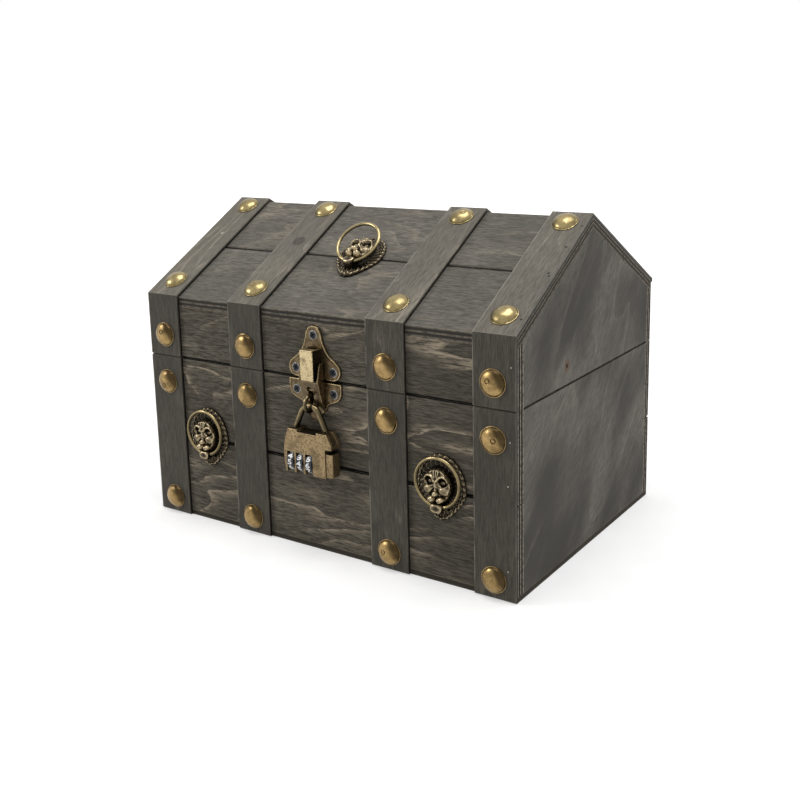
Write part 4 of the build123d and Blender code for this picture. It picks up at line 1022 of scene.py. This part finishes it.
def softened(name, material, width, segments=2, keep=None):
    # A copy of a CAD node with its creases rounded over, or only the part of it in front of a plane
    work = opened(nodes[name].data, merge=2e-6)
    if keep:
        cut(work, *keep, clear_inner=True)
        bmesh.ops.holes_fill(work, edges=[e for e in work.edges if e.is_boundary], sides=0)
    bmesh.ops.dissolve_limit(
        work, angle_limit=math.radians(2), verts=work.verts, edges=work.edges, delimit={"NORMAL"})
    creases = [e for e in work.edges if len(e.link_faces) == 2 and e.calc_face_angle(0) > math.radians(28)]
    bmesh.ops.bevel(
        work, geom=creases, offset=width, segments=segments, profile=0.5, affect="EDGES", clamp_overlap=True)
    bmesh.ops.triangulate(work, faces=[f for f in work.faces if len(f.verts) > 4])
    bmesh.ops.recalc_face_normals(work, faces=work.faces)
    return smoothed(written(work, name + "_soft", material), 42)


# Stamped plates of the latch: outlines in millimetres, right half from the bottom to the top
plates = {
    "thickness": 1.2, "rim": 0.35, "leverHalf": 8.0, "leverReach": 2.5, "gap": 0.4, "catchBottom": -4.7,
    "catch": [(0, -4.6), (5, -4.7), (9.5, -4.8), (12.9, -4.7), (15.6, -3.4), (17.0, -0.4), (16.5, 2.7), (14.4, 5.0),
              (12.0, 6.8), (9.5, 9.0), (7.7, 11.6), (6.4, 14.4), (5.5, 17.2), (4.9, 20.0), (3.5, 22.4), (1.8, 23.5),
              (0, 23.8)],
    "base": [(0, -19.0), (3.4, -18.3), (6.2, -16.3), (7.9, -13.6), (9.6, -11.9), (12.0, -11.0), (14.6, -9.8),
             (16.5, -7.6), (17.3, -4.8), (17.3, -2.2), (17.2, -0.7), (16.4, -0.1), (12, 0), (6, 0), (0, 0)],
    # From the outline inwards: inset, height over the plate's back, height in rims, brightness
    "loops": [(0.0, 0.0, 0.0, 0.36), (0.0, 0.864, 0.0, 0.48), (0.18, 1.2, 0.6, 0.6), (0.48, 1.2, 1.0, 0.72),
              (0.8, 1.2, 0.7, 0.58), (1.15, 1.22, 0.0, 0.4), (1.9, 1.2, 0.0, 0.5)],
}


def smoothOutline(half, steps=9):
    # The half outline mirrored and rounded through its points
    whole = list(half) + [(-x, z) for x, z in reversed(half[1:-1])]
    count = len(whole)
    points = []
    for i in range(count):
        a, b, c, d = (Vector(whole[(i + k) % count]) for k in (-1, 0, 1, 2))
        for step in range(steps):
            t = step / steps
            points.append(0.5 * (2 * b + (c - a) * t + (2 * a - 5 * b + 4 * c - d) * t * t
                                 + (3 * b - 3 * c + d - a) * t ** 3))
    return points


def stampedPlate(name, half, originZ, raised, seamZ):
    outline = smoothOutline(half)
    count = len(outline)
    runs = [(outline[(i + 1) % count] - outline[i - 1]).normalized() for i in range(count)]
    points, relief = [], []
    for inset, base, rims, value in plates["loops"]:
        proud = base + rims * plates["rim"]
        for place, run in zip(outline, runs):
            spot = place + Vector((-run.y, run.x)) * inset
            underLever = abs(spot.x) < plates["leverHalf"] and abs(spot.y - seamZ) < plates["leverReach"]
            height = min(proud, plates["thickness"]) if underLever else proud
            points.append((latchX + spot.x * mm, boardFace - height * mm, originZ + spot.y * mm))
            relief.append(0.5 if underLever else value)
    faces = bands(len(plates["loops"]), count)
    faces += [tuple(range(len(points) - count, len(points))), tuple(reversed(range(count)))]
    layer = raised.attributes.new("relief", "FLOAT", "POINT")
    layer.data.foreach_set("value", [0.5] * len(raised.vertices))
    return closeAndSmooth(joinedMesh(name, [meshOf(name, points, faces, plateBrass, relief), raised]), 42)


for node, key, originZ, seamZ in (
    ("latch_catch_plate", "catch", lidBottom + (plates["gap"] - plates["catchBottom"]) * mm, plates["catchBottom"]),
    ("latch_base_plate", "base", bodyTop - plates["gap"] * mm, 0.0),
):
    proud = softened(node, plateBrass, 0.00015, 2, (Vector((0, leverFront - 0.0002, 0)), forward))
    mesh = stampedPlate(node + "_stamped", plates[key], originZ, proud, seamZ)
    pieceFrom(node + "_stamped", mesh, bodyOf[node], "antique_brass", node)

softParts = {
    "draw_hook": (hookBrass, "antique_brass", 0.00045, 3), "latch_lever": (fittingBrass, "antique_brass", 0.0002, 2),
    "padlock_body": (lockBronze, "padlock_bronze", 0.0004, 2),
    "padlock_slider": (lockBronze, "padlock_bronze", 0.0005, 3),
}
for leaf in ("body_leaf_left", "body_leaf_right", "lid_leaf_left", "lid_leaf_right"):
    softParts["hinge_" + leaf] = (fittingBrass, "antique_brass", 0.0002, 2)
for name, (material, slotName, width, segments) in softParts.items():
    pieceFrom(name + "_soft", softened(name, material, width, segments), bodyOf[name], slotName, name)
print("latch, padlock and hinges softened")

# Metal that keeps its CAD shape
plainParts = {
    "hook_pin": fittingBrass, "lever_rivets": fittingBrass, "hinge_pins": fittingBrass, "latch_staple": wireBrass,
    "padlock_shackle": wireBrass, "pull_ring_left": ringBrass, "pull_ring_right": ringBrass,
    "pull_ring_roof": ringBrass, "padlock_heel_pin": lockBronze, "dial_axle": plainSteel,
}
for name, material in plainParts.items():
    dress(name, material)

# Number dials: a black wheel with finger grooves and raised silver digits
dials = {
    "radius": 5.4, "halfWidth": 2.2, "bore": 0.95, "edge": 0.4, "groove": 0.28, "digitHeight": 2.9,
    "digitWidth": 1.75, "bold": 0.1, "proud": 0.14, "sink": 0.25, "firstDigits": (5, 4, 6),
}


def wheelMesh(name, centre, steps=160):
    shoulder = 1 - dials["edge"] / dials["halfWidth"]
    low = dials["radius"] - dials["edge"]
    profile = [(-1, dials["bore"]), (-1, low), (-shoulder, dials["radius"]), (shoulder, dials["radius"]), (1, low),
               (1, dials["bore"])]
    points = []
    for share, radius in profile:
        for angle in roundOf(steps):
            between = abs(((angle / (2 * math.pi) * 10) % 1.0) - 0.5)
            notch = dials["groove"] * softStep(0.4, 0.47, between) if radius > dials["bore"] else 0.0
            r, around = (radius - notch) * mm, angle + math.pi / 10
            points.append(centre + Vector((
                share * dials["halfWidth"] * mm, -r * math.cos(around), r * math.sin(around))))
    return meshOf(name, points, bands(len(profile), steps, closed=True), dialBlack)


def digitMesh(figure, centre, angle):
    curve = bpy.data.curves.new("digit", "FONT")
    curve.body, curve.align_x = str(figure), "CENTER"
    curve.size, curve.extrude, curve.offset = 4.0, 0.5, dials["bold"]
    holder = newObject("digit", curve)
    bpy.context.view_layer.update()
    flat = bpy.data.meshes.new_from_object(holder)
    bpy.data.objects.remove(holder)
    work = opened(flat, merge=1e-4)
    xs, ys = [v.co.x for v in work.verts], [v.co.y for v in work.verts]
    middle = Vector(((min(xs) + max(xs)) / 2, (min(ys) + max(ys)) / 2))
    tall = dials["digitHeight"] / (max(ys) - min(ys))
    wide = min(tall * 1.5, 2 * dials["digitWidth"] / (max(xs) - min(xs)))
    for share in range(1, 6):
        cut(work, (0, min(ys) + (max(ys) - min(ys)) * share / 6, 0), (0, 1, 0))
    for vert in work.verts:
        across = (vert.co.x - middle.x) * wide
        around = angle + (vert.co.y - middle.y) * tall / dials["radius"]
        radius = dials["radius"] + (dials["proud"] if vert.co.z > 0 else -dials["sink"])
        vert.co = centre + Vector((across, -radius * math.cos(around), radius * math.sin(around))) * mm
    for face in work.faces:
        face.material_index = 1
    return written(work, "digitWrapped")


for number, first in enumerate(dials["firstDigits"], 1):
    node = f"dial_{number}"
    low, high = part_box(node)
    centre = turnsOn[f"dial_wheel_{number}"].copy()
    centre.x = (low.x + high.x) / 2
    parts = [wheelMesh("wheel", centre)]
    parts += [digitMesh((first - k) % 10, centre, math.radians(36 * k)) for k in range(10)]
    mesh = joinedMesh(node + "_numbered", parts)
    mesh.materials.append(digitSilver)
    pieceFrom(node + "_numbered", closeAndSmooth(mesh, 35), bodyOf[node], "dial_metal", node)
print("dials numbered")

# Camera, at the photograph's angle
view = {
    "azimuth": 35.13, "elevation": 11.557, "roll": -1.585, "focalPixels": 1078.07, "distance": 0.64032,
    "target": (-0.015757, 0.0, 0.117149), "centre": (378.885, 308.807), "pixels": 800, "sensor": 36.0,
}
azimuth, elevation, roll = (math.radians(view[k]) for k in ("azimuth", "elevation", "roll"))
turn = Matrix.Rotation(azimuth, 4, "Z") @ Matrix.Rotation(math.pi / 2 - elevation, 4, "X")
turn = turn @ Matrix.Rotation(roll, 4, "Z")
cameraData = bpy.data.cameras.new("camera")
camera = newObject("camera", cameraData)
camera.matrix_world = (
    Matrix.Translation(view["target"]) @ turn @ Matrix.Translation((0, 0, view["distance"])))
cameraData.sensor_width = view["sensor"]
cameraData.lens = view["focalPixels"] / view["pixels"] * view["sensor"]
cameraData.shift_x = (view["pixels"] / 2 - view["centre"][0]) / view["pixels"]
cameraData.shift_y = (view["centre"][1] - view["pixels"] / 2) / view["pixels"]
cameraData.clip_start = 0.01
bpy.context.scene.camera = camera

# Floor and light
studio = {
    "floor": 6.0, "world": 0.45, "paper": (0.6, 0.64), "floorGlow": 0.42, "glowReach": (0.25, 1.6),
    "aim": (0, 0, 0.09),
    # Place, size, power, colour
    "lights": {
        "keyLight": ((-1.2, -0.9, 0.9), 0.55, 8.5, (1.0, 0.985, 0.96)),
        "fillLight": ((0.95, 0.8, 0.55), 0.6, 3.6, (1.0, 0.99, 0.97)),
        "topLight": ((0.1, -0.05, 1.6), 1.0, 16.5, (1, 1, 1)),
    },
}
for name, (place, size, power, colour) in studio["lights"].items():
    data = bpy.data.lights.new(name, "AREA")
    data.size, data.energy, data.color = size, power, colour
    light = newObject(name, data)
    light.location = place
    light.rotation_euler = (Vector(studio["aim"]) - Vector(place)).to_track_quat("-Z", "Y").to_euler()


def whereSeen(tree, unseen, seen):
    # One value for camera, glossy and transmission rays, another for the rest
    path = tree.nodes.new("ShaderNodeLightPath").outputs
    rays = maths("MAXIMUM", netValue(path["Is Camera Ray"]), netValue(path["Is Glossy Ray"]))
    rays = maths("MAXIMUM", rays, netValue(path["Is Transmission Ray"]))
    return ramp(rays, 0.0, 1.0, unseen, seen, False)


world = bpy.data.worlds.new("studio")
world.use_nodes = True
bpy.context.scene.world = world
background = world.node_tree.nodes["Background"].inputs
give(background["Color"], (1, 1, 1))
give(background["Strength"], whereSeen(world.node_tree, studio["world"], 1.0))

floorMesh = bpy.data.meshes.new("floor")
half = studio["floor"]
floorMesh.from_pydata([(-half, -half, 0), (half, -half, 0), (half, half, 0), (-half, half, 0)], [], [(0, 1, 2, 3)])
floor = newObject("floor", floorMesh)
floor.location.z = -0.0002
floorPaint, floorTree, floorShader, floorPoint = newMaterial("palePaper")
give(floorShader["Base Color"], ramp(noiseOf(floorPoint, 40.0), 0.3, 0.7, *studio["paper"]))
give(floorShader["Roughness"], 0.9)
glow = ramp(vectors("LENGTH", floorPoint), *studio["glowReach"], studio["floorGlow"], 1.0)
give(floorShader["Emission Color"], (1, 1, 1))
give(floorShader["Emission Strength"], whereSeen(floorTree, 0.0, 1.0) * glow)
floorMesh.materials.append(floorPaint)
bpy.context.scene.view_settings.view_transform = "Standard"
print("camera, floor and lights set")
